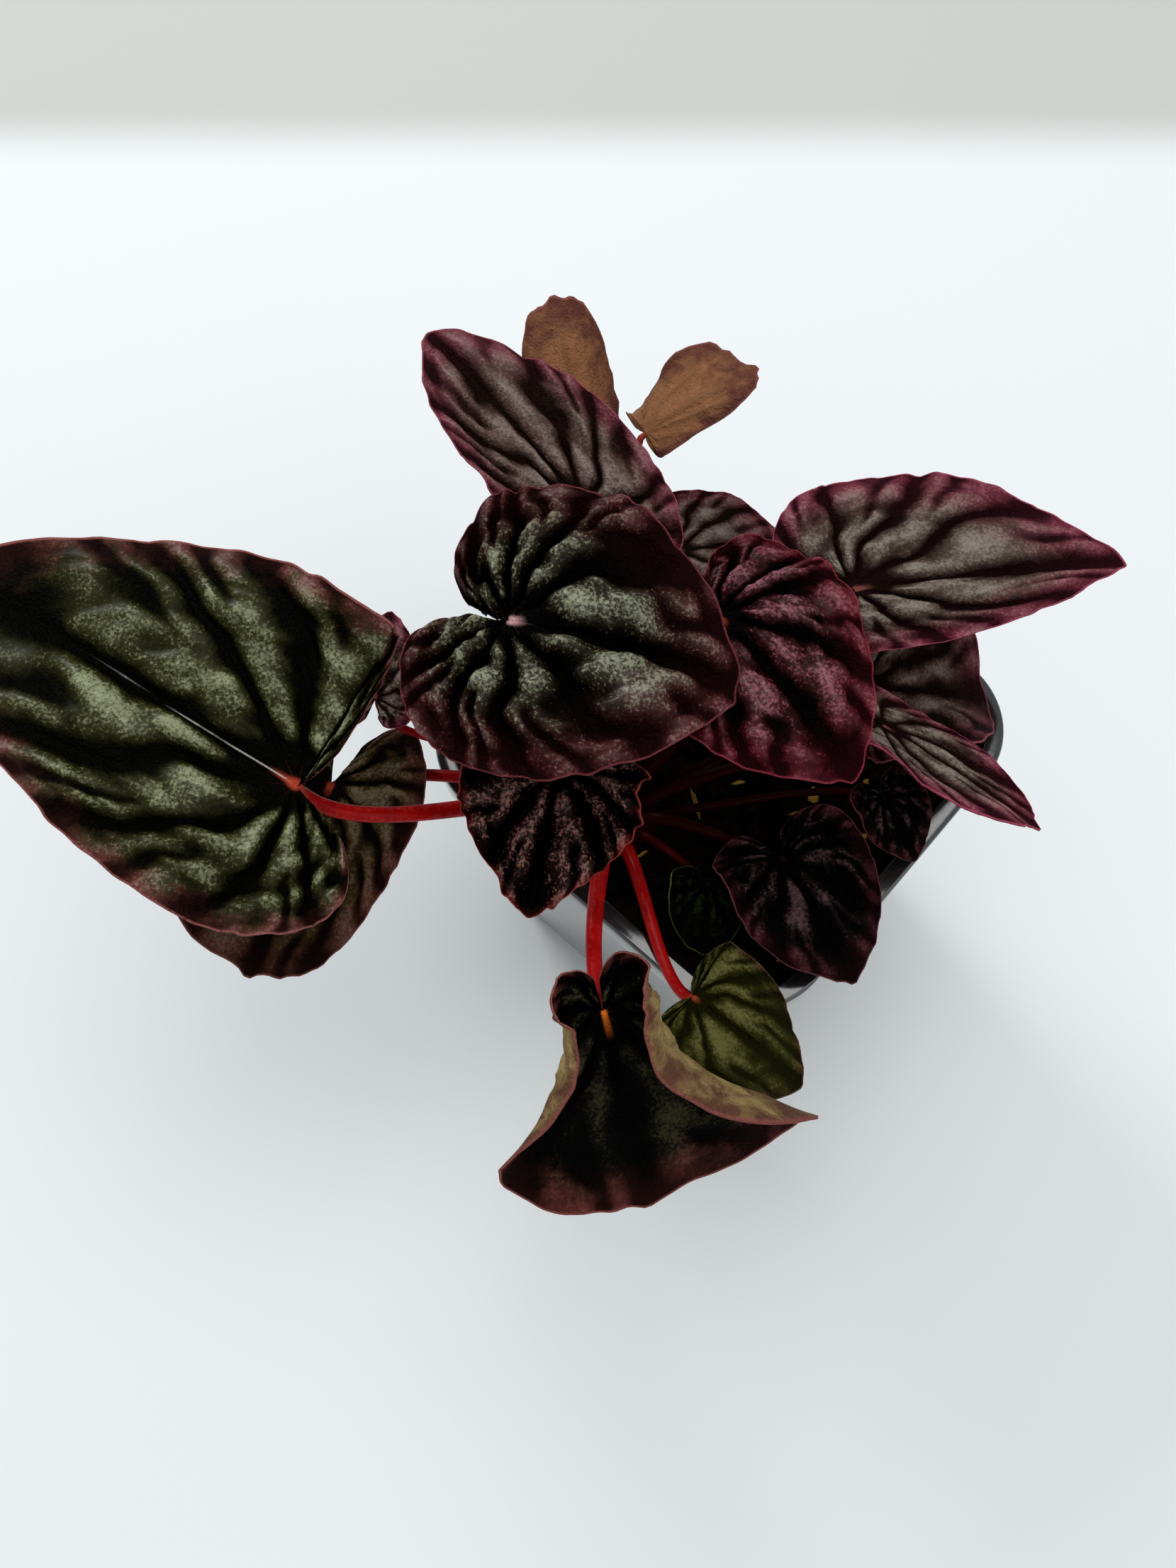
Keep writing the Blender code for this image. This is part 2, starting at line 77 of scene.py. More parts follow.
class Wire:
    """One shader socket that adds nodes where it is used in an expression."""

    def __init__(self, tree: bpy.types.NodeTree, socket: bpy.types.NodeSocket) -> None:
        """Keep the tree and the socket."""
        self.tree = tree
        self.socket = socket

    def math(self, operation: str, *others: Value) -> "Wire":
        """Add a Math node.

        Args:
            operation: Name of the Math operation.
            others: The operation's further numbers or wires.

        Returns:
            The node's result.
        """
        node = self.tree.nodes.new("ShaderNodeMath")
        node.operation = operation
        for socket, value in zip(node.inputs, (self, *others)):
            feed(self.tree, socket, value)
        return Wire(self.tree, node.outputs[0])

    def __add__(self, other: Value) -> "Wire":
        """Sum."""
        return self.math("ADD", other)

    __radd__ = __add__

    def __sub__(self, other: Value) -> "Wire":
        """Difference."""
        return self.math("SUBTRACT", other)

    def __rsub__(self, other: Value) -> "Wire":
        """Difference from a number."""
        return self.math("MULTIPLY_ADD", -1.0, other)

    def __mul__(self, other: Value) -> "Wire":
        """Product."""
        return self.math("MULTIPLY", other)

    __rmul__ = __mul__

    def ease(self, low: float, high: float, start: float = 0.0, end: float = 1.0) -> "Wire":
        """Smooth step of the value.

        Args:
            low: Value up to which the result is start.
            high: Value from which the result is end.
            start: Result on the low side.
            end: Result on the high side.

        Returns:
            The eased value.
        """
        node = self.tree.nodes.new("ShaderNodeMapRange")
        node.interpolation_type = "SMOOTHSTEP"
        feed(self.tree, node.inputs["Value"], self)
        for name, number in zip(("From Min", "From Max", "To Min", "To Max"), (low, high, start, end)):
            node.inputs[name].default_value = number
        return Wire(self.tree, node.outputs["Result"])

    def blend(self, first: Paint, second: Paint) -> "Wire":
        """Mix two colors.

        Args:
            first: Color where this wire is 0.
            second: Color where it is 1.

        Returns:
            The mixed color.
        """
        node = self.tree.nodes.new("ShaderNodeMix")
        node.data_type = "RGBA"
        inputs = {socket.identifier: socket for socket in node.inputs}
        for name, value in (("Factor_Float", self), ("A_Color", first), ("B_Color", second)):
            feed(self.tree, inputs[name], value)
        results = {socket.identifier: socket for socket in node.outputs}
        return Wire(self.tree, results["Result_Color"])

    def covered(self, *layers: tuple["Wire", Paint]) -> "Wire":
        """Lay colors over this one in turn, each by the mask it comes with.

        Args:
            layers: Masks with the colors that they let through, lowest first.

        Returns:
            The mixed color.
        """
        color = self
        for mask, paint in layers:
            color = mask.blend(color, paint)
        return color


def feed(tree: bpy.types.NodeTree, socket: bpy.types.NodeSocket, value: Union[Value, Color]) -> None:
    """Link a wire to a socket, or set the socket's own value.

    Args:
        tree: The node tree.
        socket: The input to feed.
        value: A wire, a number or a color.
    """
    if isinstance(value, Wire):
        tree.links.new(value.socket, socket)
    elif isinstance(value, tuple):
        socket.default_value = (*value, 1.0)
    else:
        socket.default_value = value


class Shader:
    """A material's node tree with short ways to add its nodes."""

    def __init__(self, name: str) -> None:
        """Start a material with an empty Principled shader.

        Args:
            name: The material's name.
        """
        self.material = bpy.data.materials.new(name)
        self.material.use_nodes = True
        self.tree = self.material.node_tree
        self.surface = self.tree.nodes["Principled BSDF"]

    def node(self, kind: str, settings: dict, inputs: dict, output: Union[int, str]) -> Wire:
        """Add any node.

        Args:
            kind: The node's type name.
            settings: Properties that are set before the sockets.
            inputs: Socket name to value or wire.
            output: Which output to return.

        Returns:
            The chosen output.
        """
        node = self.tree.nodes.new(kind)
        for name, value in settings.items():
            setattr(node, name, value)
        for name, value in inputs.items():
            feed(self.tree, node.inputs[name], value)
        return Wire(self.tree, node.outputs[output])

    def attribute(self, name: str) -> Wire:
        """Read a value that the mesh carries at its points."""
        return self.node("ShaderNodeAttribute", {"attribute_name": name}, {}, "Fac")

    def place(self) -> Wire:
        """Read the point's place on the object."""
        return self.node("ShaderNodeTexCoord", {}, {}, "Object")

    def axis(self, index: int) -> Wire:
        """Read one coordinate of the point's place."""
        return self.node("ShaderNodeSeparateXYZ", {}, {"Vector": self.place()}, index)

    def noise(self, scale: float, detail: float = 2.0, rough: float = 0.5, twist: float = 0.0) -> Wire:
        """Add a noise pattern over the object's place.

        Args:
            scale: Patterns per metre.
            detail: Number of finer patterns on it.
            rough: Strength of each finer pattern.
            twist: How far the pattern bends itself.

        Returns:
            The noise, round 0.5.
        """
        inputs = {
            "Vector": self.place(),
            "Scale": scale,
            "Detail": detail,
            "Roughness": rough,
            "Distortion": twist,
        }
        return self.node("ShaderNodeTexNoise", {}, inputs, "Fac")

    def cells(self, scale: float) -> Wire:
        """Add a cell pattern's distance over the object's place."""
        inputs = {"Vector": self.place(), "Scale": scale}
        return self.node("ShaderNodeTexVoronoi", {}, inputs, "Distance")

    def bump(self, height: Wire, strength: float, distance: float, below: Union[Wire, None] = None) -> Wire:
        """Add a Bump node.

        Args:
            height: The relief.
            strength: Its share, from 0 to 1.
            distance: Its height in metres.
            below: A bump that it lies on.

        Returns:
            The bent normal.
        """
        inputs = {"Height": height, "Strength": strength, "Distance": distance}
        if below is not None:
            inputs["Normal"] = below
        return self.node("ShaderNodeBump", {}, inputs, "Normal")

    def set(self, **values: Union[Value, Color]) -> None:
        """Feed the Principled shader's sockets.

        Args:
            values: Socket names, with _ for a space, and what each is fed.
        """
        for name, value in values.items():
            feed(self.tree, self.surface.inputs[name.replace("_", " ")], value)


def faded(color: Color, share: float, lift: float = 0.0) -> Color:
    """Scale a color and lift it a little."""
    return tuple(share * value + lift for value in color)


@dataclass(frozen=True)
class LeafFinish:
    """Skin of one leaf: dark furrows, shimmering pads, a flushed margin and a pale back.

    Flush is the share of the reach that the margin's color takes. Rise lifts the whole skin
    towards its pads, spine is the strength of the pale line on the midrib, gloss the wax
    coat's weight, sparkle how far the grain breaks up the glints, and flame the reach of
    the wedge of the joint's color. Spans are of the crest, of the reach from the joint (0)
    to the margin (1), or of the distance from the midrib in metres.
    """

    name: str
    # furrow: dark pigment with painted shade in the furrows; glint: silvery skin with a painted highlight
    # on the crests.
    furrow: Color
    pad: Color
    glint: Color
    margin: Color
    back: Color
    flush: float = 0.3
    rise: float = 0.0
    spine: float = 0.0
    joint: Color = (0.40, 0.05, 0.025)
    gloss: float = 0.35
    sparkle: float = 0.7
    flame: float = 0.08

    PAD_CREST: ClassVar[Span] = (0.40, 0.85)
    GLINT_CREST: ClassVar[Span] = (0.68, 1.16)
    BLUSH_END: ClassVar[float] = 1.02
    WEDGE_START: ClassVar[float] = 0.03
    WEDGE_ASIDE: ClassVar[Span] = (0.0002, 0.0012)
    SPINE_ASIDE: ClassVar[Span] = (0.00006, 0.00024)
    SPINE_REACH: ClassVar[Span] = (0.30, 0.66)
    SPINE_COLOR: ClassVar[Color] = (0.60, 0.58, 0.50)
    VEIN_REACH: ClassVar[Span] = (0.02, 0.12)
    JOINT_REACH: ClassVar[Span] = (0.012, 0.045)
    RIM_REACH: ClassVar[Span] = (0.986, 0.997)
    BACK_BLUSH: ClassVar[Span] = (0.58, 1.02)
    BACK_RIM: ClassVar[Span] = (0.97, 0.995)

    def upper(self, shader: Shader, patch: Wire, grain: Wire) -> Wire:
        """Mix the upper skin.

        Formula: furrow turns to pad and pad to glint as the crest rises, which is the ridge
        roughened by both noises. Over them lie the flushed margin, the wedge at the joint,
        the veins, the pale spine, the joint's spot and the rim.

        Args:
            shader: The material's shader.
            patch: Coarse noise.
            grain: Fine noise.

        Returns:
            The color.
        """
        names = ("ridge", "reach", "vein", "aside")
        ridge, reach, vein, aside = (shader.attribute(name) for name in names)
        cloud, dust = patch - 0.5, grain - 0.5
        # Painted shade and painted highlight: the furrow colour stands partly for shade in the furrows, and
        # the glint partly for light caught on the crests.
        crest = ridge + cloud * 0.3 + (dust * 0.25 + self.rise)
        lit = crest.ease(*self.PAD_CREST)
        bright = (crest + (dust * self.sparkle + cloud * 0.3)).ease(*self.GLINT_CREST)
        flushed = lit.blend(faded(self.margin, 0.12), self.margin)
        sheen = faded(self.margin, 1.4, 0.13 * sum(self.glint))
        blush = (reach + cloud * 0.35).ease(self.BLUSH_END + 0.02 - self.flush, self.BLUSH_END)
        wedge = aside.ease(*self.WEDGE_ASIDE, 0.9, 0.0)
        # Painted highlight: the pale line along the midrib stands for light on the glossy midrib.
        spine = aside.ease(*self.SPINE_ASIDE, 1.0, 0.0) * reach.ease(*self.SPINE_REACH, self.spine, 0.0)
        return lit.blend(self.furrow, self.pad).covered(
            (bright, self.glint),
            (blush * 0.9, (bright * 0.8).blend(flushed, sheen)),
            (wedge * reach.ease(self.WEDGE_START, self.flame, 1.0, 0.0), faded(self.joint, 0.6)),
            (vein * reach.ease(*self.VEIN_REACH, 0.4, 0.0), faded(self.joint, 0.35)),
            (spine * patch.ease(0.25, 0.5, 0.3, 1.0), self.SPINE_COLOR),
            (reach.ease(*self.JOINT_REACH, 0.95, 0.0), self.joint),
            (reach.ease(*self.RIM_REACH, 0.0, 0.85), faded(self.margin, 2.2, 0.02)),
        )

    def lower(self, shader: Shader, patch: Wire, grain: Wire) -> Wire:
        """Mix the back: clouded flesh, dark hollows, pale veins and a flushed margin.

        Args:
            shader: The material's shader.
            patch: Coarse noise.
            grain: Fine noise.

        Returns:
            The color.
        """
        reach, vein, ridge = (shader.attribute(name) for name in ("reach", "vein", "ridge"))
        flesh = (patch.ease(0.35, 0.8) * 0.5).blend(self.back, faded(self.back, 0.45))
        blush = (reach + (patch - 0.5) * 0.9).ease(*self.BACK_BLUSH, 0.0, 0.9)
        return flesh.covered(
            (grain.ease(0.45, 0.75) * 0.35, faded(self.back, 1.35)),
            # Painted shade: the back is darkened where the upper side's ridge is low.
            (ridge.ease(0.2, 0.7, 0.45, 0.0), faded(self.back, 0.4)),
            (vein * 0.4, faded(self.back, 1.3, 0.02)),
            (blush, faded(self.margin, 0.6, 0.006)),
            (reach.ease(*self.BACK_RIM, 0.0, 0.8), faded(self.margin, 1.6, 0.02)),
        )

    def build(self) -> bpy.types.Material:
        """Make the material; the mesh carries ridge, vein, aside, reach and under.

        Returns:
            The material.
        """
        shader = Shader(self.name)
        under = shader.attribute("under").ease(0.35, 0.65)
        ridge = shader.attribute("ridge")
        patch = shader.noise(260.0, detail=3.0, rough=0.6, twist=0.4)
        grain = shader.noise(1900.0, rough=0.65)
        fleck = shader.cells(2300.0)
        color = under.blend(self.upper(shader, patch, grain), self.lower(shader, patch, grain))
        dimples = shader.noise(800.0, detail=3.0, rough=0.6, twist=0.6)
        skin = shader.bump(dimples, strength=0.7, distance=0.0006)
        skin = shader.bump(grain + fleck * 0.8, strength=1.0, distance=0.00026, below=skin)
        rough = 0.55 - ridge * 0.15 + (grain - 0.5) * 0.3
        shader.set(Base_Color=color, Roughness=rough, Normal=skin)
        shader.set(Coat_Weight=ridge.ease(0.5, 1.0) * (1.0 - under) * self.gloss)
        shader.set(Specular_IOR_Level=0.02, Coat_Roughness=0.30)
        return shader.material


class Tone(Enum):
    """The leaf skins seen on the plant, from green-silver to magenta."""

    OLIVE = LeafFinish(
        "olive leaf skin", (0.0006, 0.0006, 0.0002), (0.028, 0.029, 0.0045), (0.275, 0.300, 0.165),
        (0.135, 0.034, 0.030), (0.17, 0.060, 0.030), flush=0.22, spine=0.6, gloss=0.3,
    )
    BRONZE = LeafFinish(
        "bronze leaf skin", (0.0016, 0.0010, 0.0003), (0.040, 0.025, 0.0060), (0.150, 0.115, 0.065),
        (0.085, 0.024, 0.018), (0.12, 0.045, 0.03), flush=0.34, rise=0.12, gloss=0.1,
    )
    DUSK = LeafFinish(
        "dusk leaf skin", (0.0004, 0.0002, 0.0001), (0.022, 0.015, 0.0065), (0.245, 0.262, 0.165),
        (0.082, 0.010, 0.014), (0.12, 0.045, 0.03), flush=0.56, joint=(0.55, 0.30, 0.30), gloss=0.6,
        sparkle=1.3,
    )
    MAGENTA = LeafFinish(
        "magenta leaf skin", (0.0006, 0.0001, 0.0001), (0.034, 0.0022, 0.0036), (0.270, 0.080, 0.110),
        (0.130, 0.007, 0.018), (0.14, 0.035, 0.03), flush=0.42, gloss=0.5,
        sparkle=1.1,
    )
    MAUVE = LeafFinish(
        "mauve leaf skin", (0.0080, 0.0022, 0.0018), (0.078, 0.050, 0.040), (0.225, 0.185, 0.150),
        (0.175, 0.022, 0.046), (0.13, 0.05, 0.035), flush=0.46, rise=0.10,
        joint=(0.20, 0.06, 0.05), gloss=0.4,
    )
    CLAY = LeafFinish(
        "clay leaf skin", (0.0070, 0.0024, 0.0016), (0.080, 0.044, 0.036), (0.195, 0.142, 0.122),
        (0.135, 0.020, 0.036), (0.13, 0.05, 0.035), flush=0.40, rise=0.10,
        joint=(0.20, 0.06, 0.05), gloss=0.3,
    )
    EMBER = LeafFinish(
        "dark red leaf skin", (0.0004, 0.0001, 0.0001), (0.014, 0.0022, 0.0018), (0.270, 0.120, 0.100),
        (0.130, 0.010, 0.006), (0.12, 0.03, 0.02), flush=0.14, joint=(0.15, 0.02, 0.02), gloss=0.4,
        sparkle=1.7,
    )
    # Painted shade: the near-black upper skin stands for the shade inside the curled cone; the tan back is
    # its own colour.
    MOSS = LeafFinish(
        "moss leaf skin with painted shade", (0.0001, 0.0001, 0.0000), (0.0012, 0.0010, 0.0003), (0.040, 0.034, 0.014),
        (0.125, 0.030, 0.024), (0.370, 0.265, 0.105), flush=0.30, joint=(0.85, 0.20, 0.02), gloss=0.05,
        flame=0.15,
    )
    SHADE = LeafFinish(
        "shaded leaf skin", (0.0001, 0.0001, 0.0001), (0.0030, 0.0010, 0.0009), (0.078, 0.042, 0.044),
        (0.055, 0.010, 0.014), (0.10, 0.04, 0.03), flush=0.30, joint=(0.01, 0.003, 0.003), gloss=0.05,
    )
    TAN = LeafFinish(
        "young leaf skin", (0.0060, 0.0022, 0.0016), (0.070, 0.034, 0.022), (0.22, 0.15, 0.11),
        (0.150, 0.040, 0.032), (0.270, 0.118, 0.055), flush=0.35, rise=0.2, gloss=0.25,
    )
    LIME = LeafFinish(
        "green leaf skin", (0.0080, 0.0080, 0.0012), (0.034, 0.034, 0.0050), (0.130, 0.125, 0.035),
        (0.060, 0.030, 0.010), (0.22, 0.19, 0.06), flush=0.14, rise=0.08,
        joint=(0.30, 0.06, 0.02), gloss=0.1,
    )
    # Painted shade: near-black skin with a green rim, for small leaves deep in shade.
    FERN = LeafFinish(
        "green leaf skin in painted shade", (0.0001, 0.0001, 0.0001), (0.0012, 0.0020, 0.0005), (0.010, 0.015, 0.003),
        (0.060, 0.085, 0.012), (0.12, 0.14, 0.04), flush=0.05, joint=(0.01, 0.006, 0.002), gloss=0.0,
    )


@dataclass(frozen=True)
class StalkFinish:
    """Wet-looking crimson flesh with pale streaks and a paler end at the blade."""

    name: str = "crimson stalk flesh"
    deep: Color = (0.200, 0.0008, 0.0010)
    bright: Color = (0.400, 0.0030, 0.0036)
    streaked: Color = (0.50, 0.045, 0.045)
    end: Color = (0.36, 0.06, 0.03)
    shade: Color = (0.0050, 0.0006, 0.0005)

    def build(self) -> bpy.types.Material:
        """Make the material; the mesh carries along (foot to blade), streak and light.

        Returns:
            The material.
        """
        shader = Shader(self.name)
        along, streak, light = (shader.attribute(name) for name in ("along", "streak", "light"))
        speck = shader.noise(1500.0, rough=0.6)
        color = shader.noise(120.0).ease(0.3, 0.7).blend(self.deep, self.bright)
        color = color.covered(
            (streak * speck.ease(0.45, 0.7) * 0.4, self.streaked),
            (along.ease(0.93, 1.0, 0.0, 0.6), self.end),
        )
        color = (light * 0.97 + 0.03).blend(self.shade, color)
        skin = shader.bump(speck, strength=0.25, distance=0.0001)
        shader.set(Base_Color=color, Roughness=0.30 + speck * 0.14, Normal=skin)
        shader.set(Coat_Weight=light * 0.12)
        shader.set(Specular_IOR_Level=0.03, Coat_Roughness=0.15)
        return shader.material


@dataclass(frozen=True)
class PotFinish:
    """Thin black moulded plastic, satin, with dust near the foot and light scuffs."""

    name: str = "black nursery plastic"
    plastic: Color = (0.0075, 0.0075, 0.0082)
    dusty: Color = (0.030, 0.028, 0.026)
    scuffed: Color = (0.034, 0.034, 0.036)
    dust_top: float = 0.022

    def build(self) -> bpy.types.Material:
        """Make the material.

        Returns:
            The material.
        """
        shader = Shader(self.name)
        dust = shader.noise(95.0, detail=5.0, rough=0.65, twist=0.6)
        fine = shader.noise(1400.0, detail=3.0, rough=0.6)
        scuff = shader.noise(420.0, detail=4.0, rough=0.7, twist=2.2)
        mask = dust.ease(0.48, 0.80) * shader.axis(2).ease(0.0, self.dust_top, 1.0, 0.25)
        color = mask.blend(self.plastic, self.dusty)
        color = (scuff.ease(0.66, 0.74) * 0.4).blend(color, self.scuffed)
        skin = shader.bump(fine, strength=0.12, distance=0.00006)
        skin = shader.bump(dust, strength=0.06, distance=0.0003, below=skin)
        shader.set(Base_Color=color, Roughness=0.13 + mask * 0.22 + (fine - 0.5) * 0.08, Normal=skin)
        shader.set(Specular_IOR_Level=0.8, Coat_Weight=0.7, Coat_Roughness=0.12)
        return shader.material


@dataclass(frozen=True)
class EarthFinish:
    """Damp peat or bark whose tone is carried by each crumb."""

    name: str
    dark: Color
    light: Color
    rough: float = 0.85

    def build(self) -> bpy.types.Material:
        """Make the material; the mesh carries tint, one value a crumb.

        Returns:
            The material.
        """
        shader = Shader(self.name)
        tint = shader.attribute("tint")
        cloud = shader.noise(700.0, detail=4.0, rough=0.65)
        fine = shader.noise(3200.0, detail=3.0, rough=0.7)
        color = (tint * 0.75 + (cloud - 0.5) * 0.8).ease(0.05, 0.85).blend(self.dark, self.light)
        skin = shader.bump(cloud + fine * 0.6, strength=0.8, distance=0.0006)
        shader.set(Base_Color=color, Roughness=self.rough + (fine - 0.5) * 0.2, Normal=skin)
        shader.set(Specular_IOR_Level=0.04)
        return shader.material


@dataclass(frozen=True)
class FloorFinish:
    """White table top that ends in a soft pale grey behind the plant."""

    name: str = "pale floor"
    table: Color = (0.84, 0.87, 0.875)
    beyond: Color = (0.585, 0.59, 0.56)
    edge: Span = (0.232, 0.262)

    def build(self) -> bpy.types.Material:
        """Make the material, with the grey by the point's place along +Y.

        Returns:
            The material.
        """
        shader = Shader(self.name)
        far = shader.axis(1).ease(*self.edge) + shader.noise(6.0) * 0.02
        rough = 0.75 + shader.noise(300.0) * 0.1
        shader.set(Base_Color=far.blend(self.table, self.beyond), Roughness=rough)
        shader.set(Specular_IOR_Level=0.1)
        return shader.material


def smoothstep(value: Array) -> Array:
    """Ease from 0 to 1: 3v^2 - 2v^3 of the value kept between 0 and 1."""
    value = np.clip(value, 0.0, 1.0)
    return value * value * (3.0 - 2.0 * value)


def hump(value: Array) -> Array:
    """Bell of height 1 round 0: exp(-v^2)."""
    return np.exp(-(value**2))


def quarter_turn(steps: int, start: float = 0.0) -> tuple[Array, Array]:
    """Values 1 - sin and 1 - cos of angles from a share of a quarter turn to all of it."""
    angle = np.linspace(start, 1, steps) * math.pi / 2
    return 1 - np.sin(angle), 1 - np.cos(angle)


def turns(sides: int) -> Array:
    """Angles of a ring's points, as one row."""
    return np.linspace(0, 2 * np.pi, sides, endpoint=False)[None, :]


def lattice_noise(x: Array, y: Array, seed: int, size: int = 64) -> Array:
    """Smooth noise from -1 to 1 on a plane.

    Formula: each corner of the unit lattice has a random value, and a point takes the
    mean of its cell's four corners, weighted by eased distances.

    Args:
        x: First coordinates.
        y: Second coordinates, of the same shape.
        seed: Seed of the lattice's random values.
        size: Number of cells until the lattice repeats.

    Returns:
        The noise at each point.
    """
    table = np.random.default_rng(seed).uniform(-1, 1, (size, size))
    left, low = np.floor(x).astype(int), np.floor(y).astype(int)
    right_share, high_share = smoothstep(x - left), smoothstep(y - low)

    def edge(row: int) -> Array:
        """Value along the cell's lower or upper edge."""
        first, second = (table[(left + step) % size, (low + row) % size] for step in (0, 1))
        return first * (1 - right_share) + second * right_share

    return edge(0) * (1 - high_share) + edge(1) * high_share


def fractal(x: Array, y: Array, seed: int, octaves: int = 3) -> Array:
    """Sum of noises, each twice as fine and half as high as the last.

    Args:
        x: First coordinates.
        y: Second coordinates, of the same shape.
        seed: Seed of the first noise.
        octaves: Number of noises.

    Returns:
        The sum, scaled to about -1 to 1.
    """
    apart, full_height = 7.3, 1.75
    total = np.zeros_like(x, dtype=float)
    for octave in range(octaves):
        finer = 2**octave
        total += lattice_noise(x * finer + apart * octave, y * finer, seed + octave) / finer
    return total / full_height


def unit(vectors: Array) -> Array:
    """Scale vectors to a length of 1."""
    return vectors / np.maximum(np.linalg.norm(vectors, axis=-1, keepdims=True), 1e-12)


def grid_faces(rows: int, columns: int, closed: bool = False, start: int = 0) -> Array:
    """Quads between the points of a grid, row by row.

    Args:
        rows: Number of rows of points.
        columns: Number of points in a row.
        closed: Whether each row's last point joins its first.
        start: Index of the grid's first point.

    Returns:
        Four corner indices for each quad.
    """
    across = columns if closed else columns - 1
    row, column = np.meshgrid(np.arange(rows - 1), np.arange(across), indexing="ij")
    after = (column + 1) % columns
    quads = [row * columns + column, row * columns + after]
    quads += [(row + 1) * columns + after, (row + 1) * columns + column]
    return start + np.stack(quads, -1).reshape(-1, 4)


def fan_faces(center: int, ring: Array, turned: bool = False) -> Array:
    """Triangles between a closed ring of points and one point in its middle.

    Args:
        center: Index of the middle point.
        ring: Indices of the ring's points.
        turned: Whether the triangles face the other way.

    Returns:
        Three corner indices for each triangle.
    """
    after = np.roll(ring, -1)
    middle = np.full_like(ring, center)
    corners = (middle, after, ring) if turned else (middle, ring, after)
    return np.stack(corners, -1)


@dataclass
class Surface:
    """Points in millimetres, faces and per-point values of one piece."""

    name: str
    points: Array
    faces: list[Array]
    values: dict[str, Array] = field(default_factory=dict)

    @classmethod
    def tube(cls, name: str, rings: Array, first: Array, last: Array) -> "Surface":
        """Join rings of points and close both ends with fans.

        Args:
            name: The piece's name.
            rings: Points, by ring and by place round it.
            first: Middle of the first ring.
            last: Middle of the last ring.

        Returns:
            The closed surface.
        """
        rows, sides = rings.shape[:2]
        count = rows * sides
        faces = [
            grid_faces(rows, sides, closed=True),
            fan_faces(count, np.arange(sides), turned=True),
            fan_faces(count + 1, np.arange(sides) + count - sides),
        ]
        return cls(name, np.concatenate([rings.reshape(-1, 3), [first, last]]), faces)

    def make(self, material: bpy.types.Material, slot: str, *nodes: str) -> bpy.types.Object:
        """Put the surface into Blender and tie it to the frame.

        Args:
            material: The piece's finish.
            slot: The record's material slot that the piece stands for; not used.
            nodes: Solids that the piece stands for.

        Returns:
            The new object, at the origin.
        """
        mesh = bpy.data.meshes.new(self.name)
        polygons = [corner for block in self.faces for corner in block.tolist()]
        mesh.from_pydata((self.points * MM).tolist(), [], polygons)
        for name, values in self.values.items():
            layer = mesh.attributes.new(name, "FLOAT", "POINT")
            layer.data.foreach_set("value", np.ascontiguousarray(values, dtype=np.float32))
        mesh.shade_smooth()
        mesh.materials.append(material)
        item = bpy.data.objects.new(self.name, mesh)
        bpy.context.scene.collection.objects.link(item)
        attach(item, BODY)
        if nodes:
            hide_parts(*nodes)
        LOG.info("%s: %d faces", self.name, len(polygons))
        return item


class Detail(Enum):
    """Points across and along a blade, by how large it shows."""

    LARGE = (248, 80)
    MIDDLE = (140, 50)
    SMALL = (90, 34)


@dataclass(frozen=True)
class Leaf:
    """One leaf: where its blade joins the stalk, how it lies, curls and is colored.

    Heading is the midrib's direction from +X, rise its slope and roll its lean. Root angle
    and radius place the stalk's foot on the crown. Droop bends the midrib down. Fold and
    the two cups turn the sides up, cup_tip from cup_reach of the length on, and level keeps
    a share of each side straight. Side and lobe scale each side's width and its part behind
    the joint, which bends by lobe_rise. Spread is the outline's half angle, waist narrows
    it at the joint, flare widens its tip and blunt rounds it. Ripple and wave are the
    heights of pads and margin. Mounds counts a pad's bumps, crimp and jag are shares for
    puckers and notches. Stalk_back ends the stalk behind the joint, stalk_lean tilts its
    end, and stalk_light is how brightly it shows.
    """

    name: str
    joint: tuple[float, float, float]
    heading: float
    rise: float
    roll: float
    length: float
    width: float
    root_angle: float
    root_radius: float
    tone: Tone
    stalk: float = 2.4
    detail: Detail = Detail.MIDDLE
    droop: float = 30.0
    fold: float = 8.0
    cup_left: float = 20.0
    cup_right: float = 20.0
    cup_tip: float = -10.0
    cup_reach: float = 0.7
    side_left: float = 1.0
    side_right: float = 1.0
    lobe_left: float = 1.0
    lobe_right: float = 1.0
    lobe_rise: float = 10.0
    spread: float = 160.0
    waist: float = 1.0
    flare: float = 0.0
    blunt: float = 0.0
    level: float = 0.0
    ripple: float = 1.0
    mounds: float = 6.0
    crimp: float = 0.04
    jag: float = 0.012
    wave: float = 0.8
    waves: float = 5.0
    phase: float = 0.0
    stalk_lean: float = 45.0
    stalk_back: float = 0.0
    stalk_light: float = 0.12

    def axes(self) -> Array:
        """Turn the blade's directions by heading, rise and roll, in this order.

        Returns:
            Right, forward and up at the joint, as rows.
        """
        heading, rise, roll = np.radians([self.heading, self.rise, self.roll])
        forward = np.array(
            [np.cos(heading) * np.cos(rise), np.sin(heading) * np.cos(rise), np.sin(rise)]
        )
        level = np.array([np.sin(heading), -np.cos(heading), 0.0])
        above = np.cross(level, forward)
        right = level * np.cos(roll) + above * np.sin(roll)
        return np.stack([right, forward, np.cross(right, forward)])


L, S = Detail.LARGE, Detail.SMALL

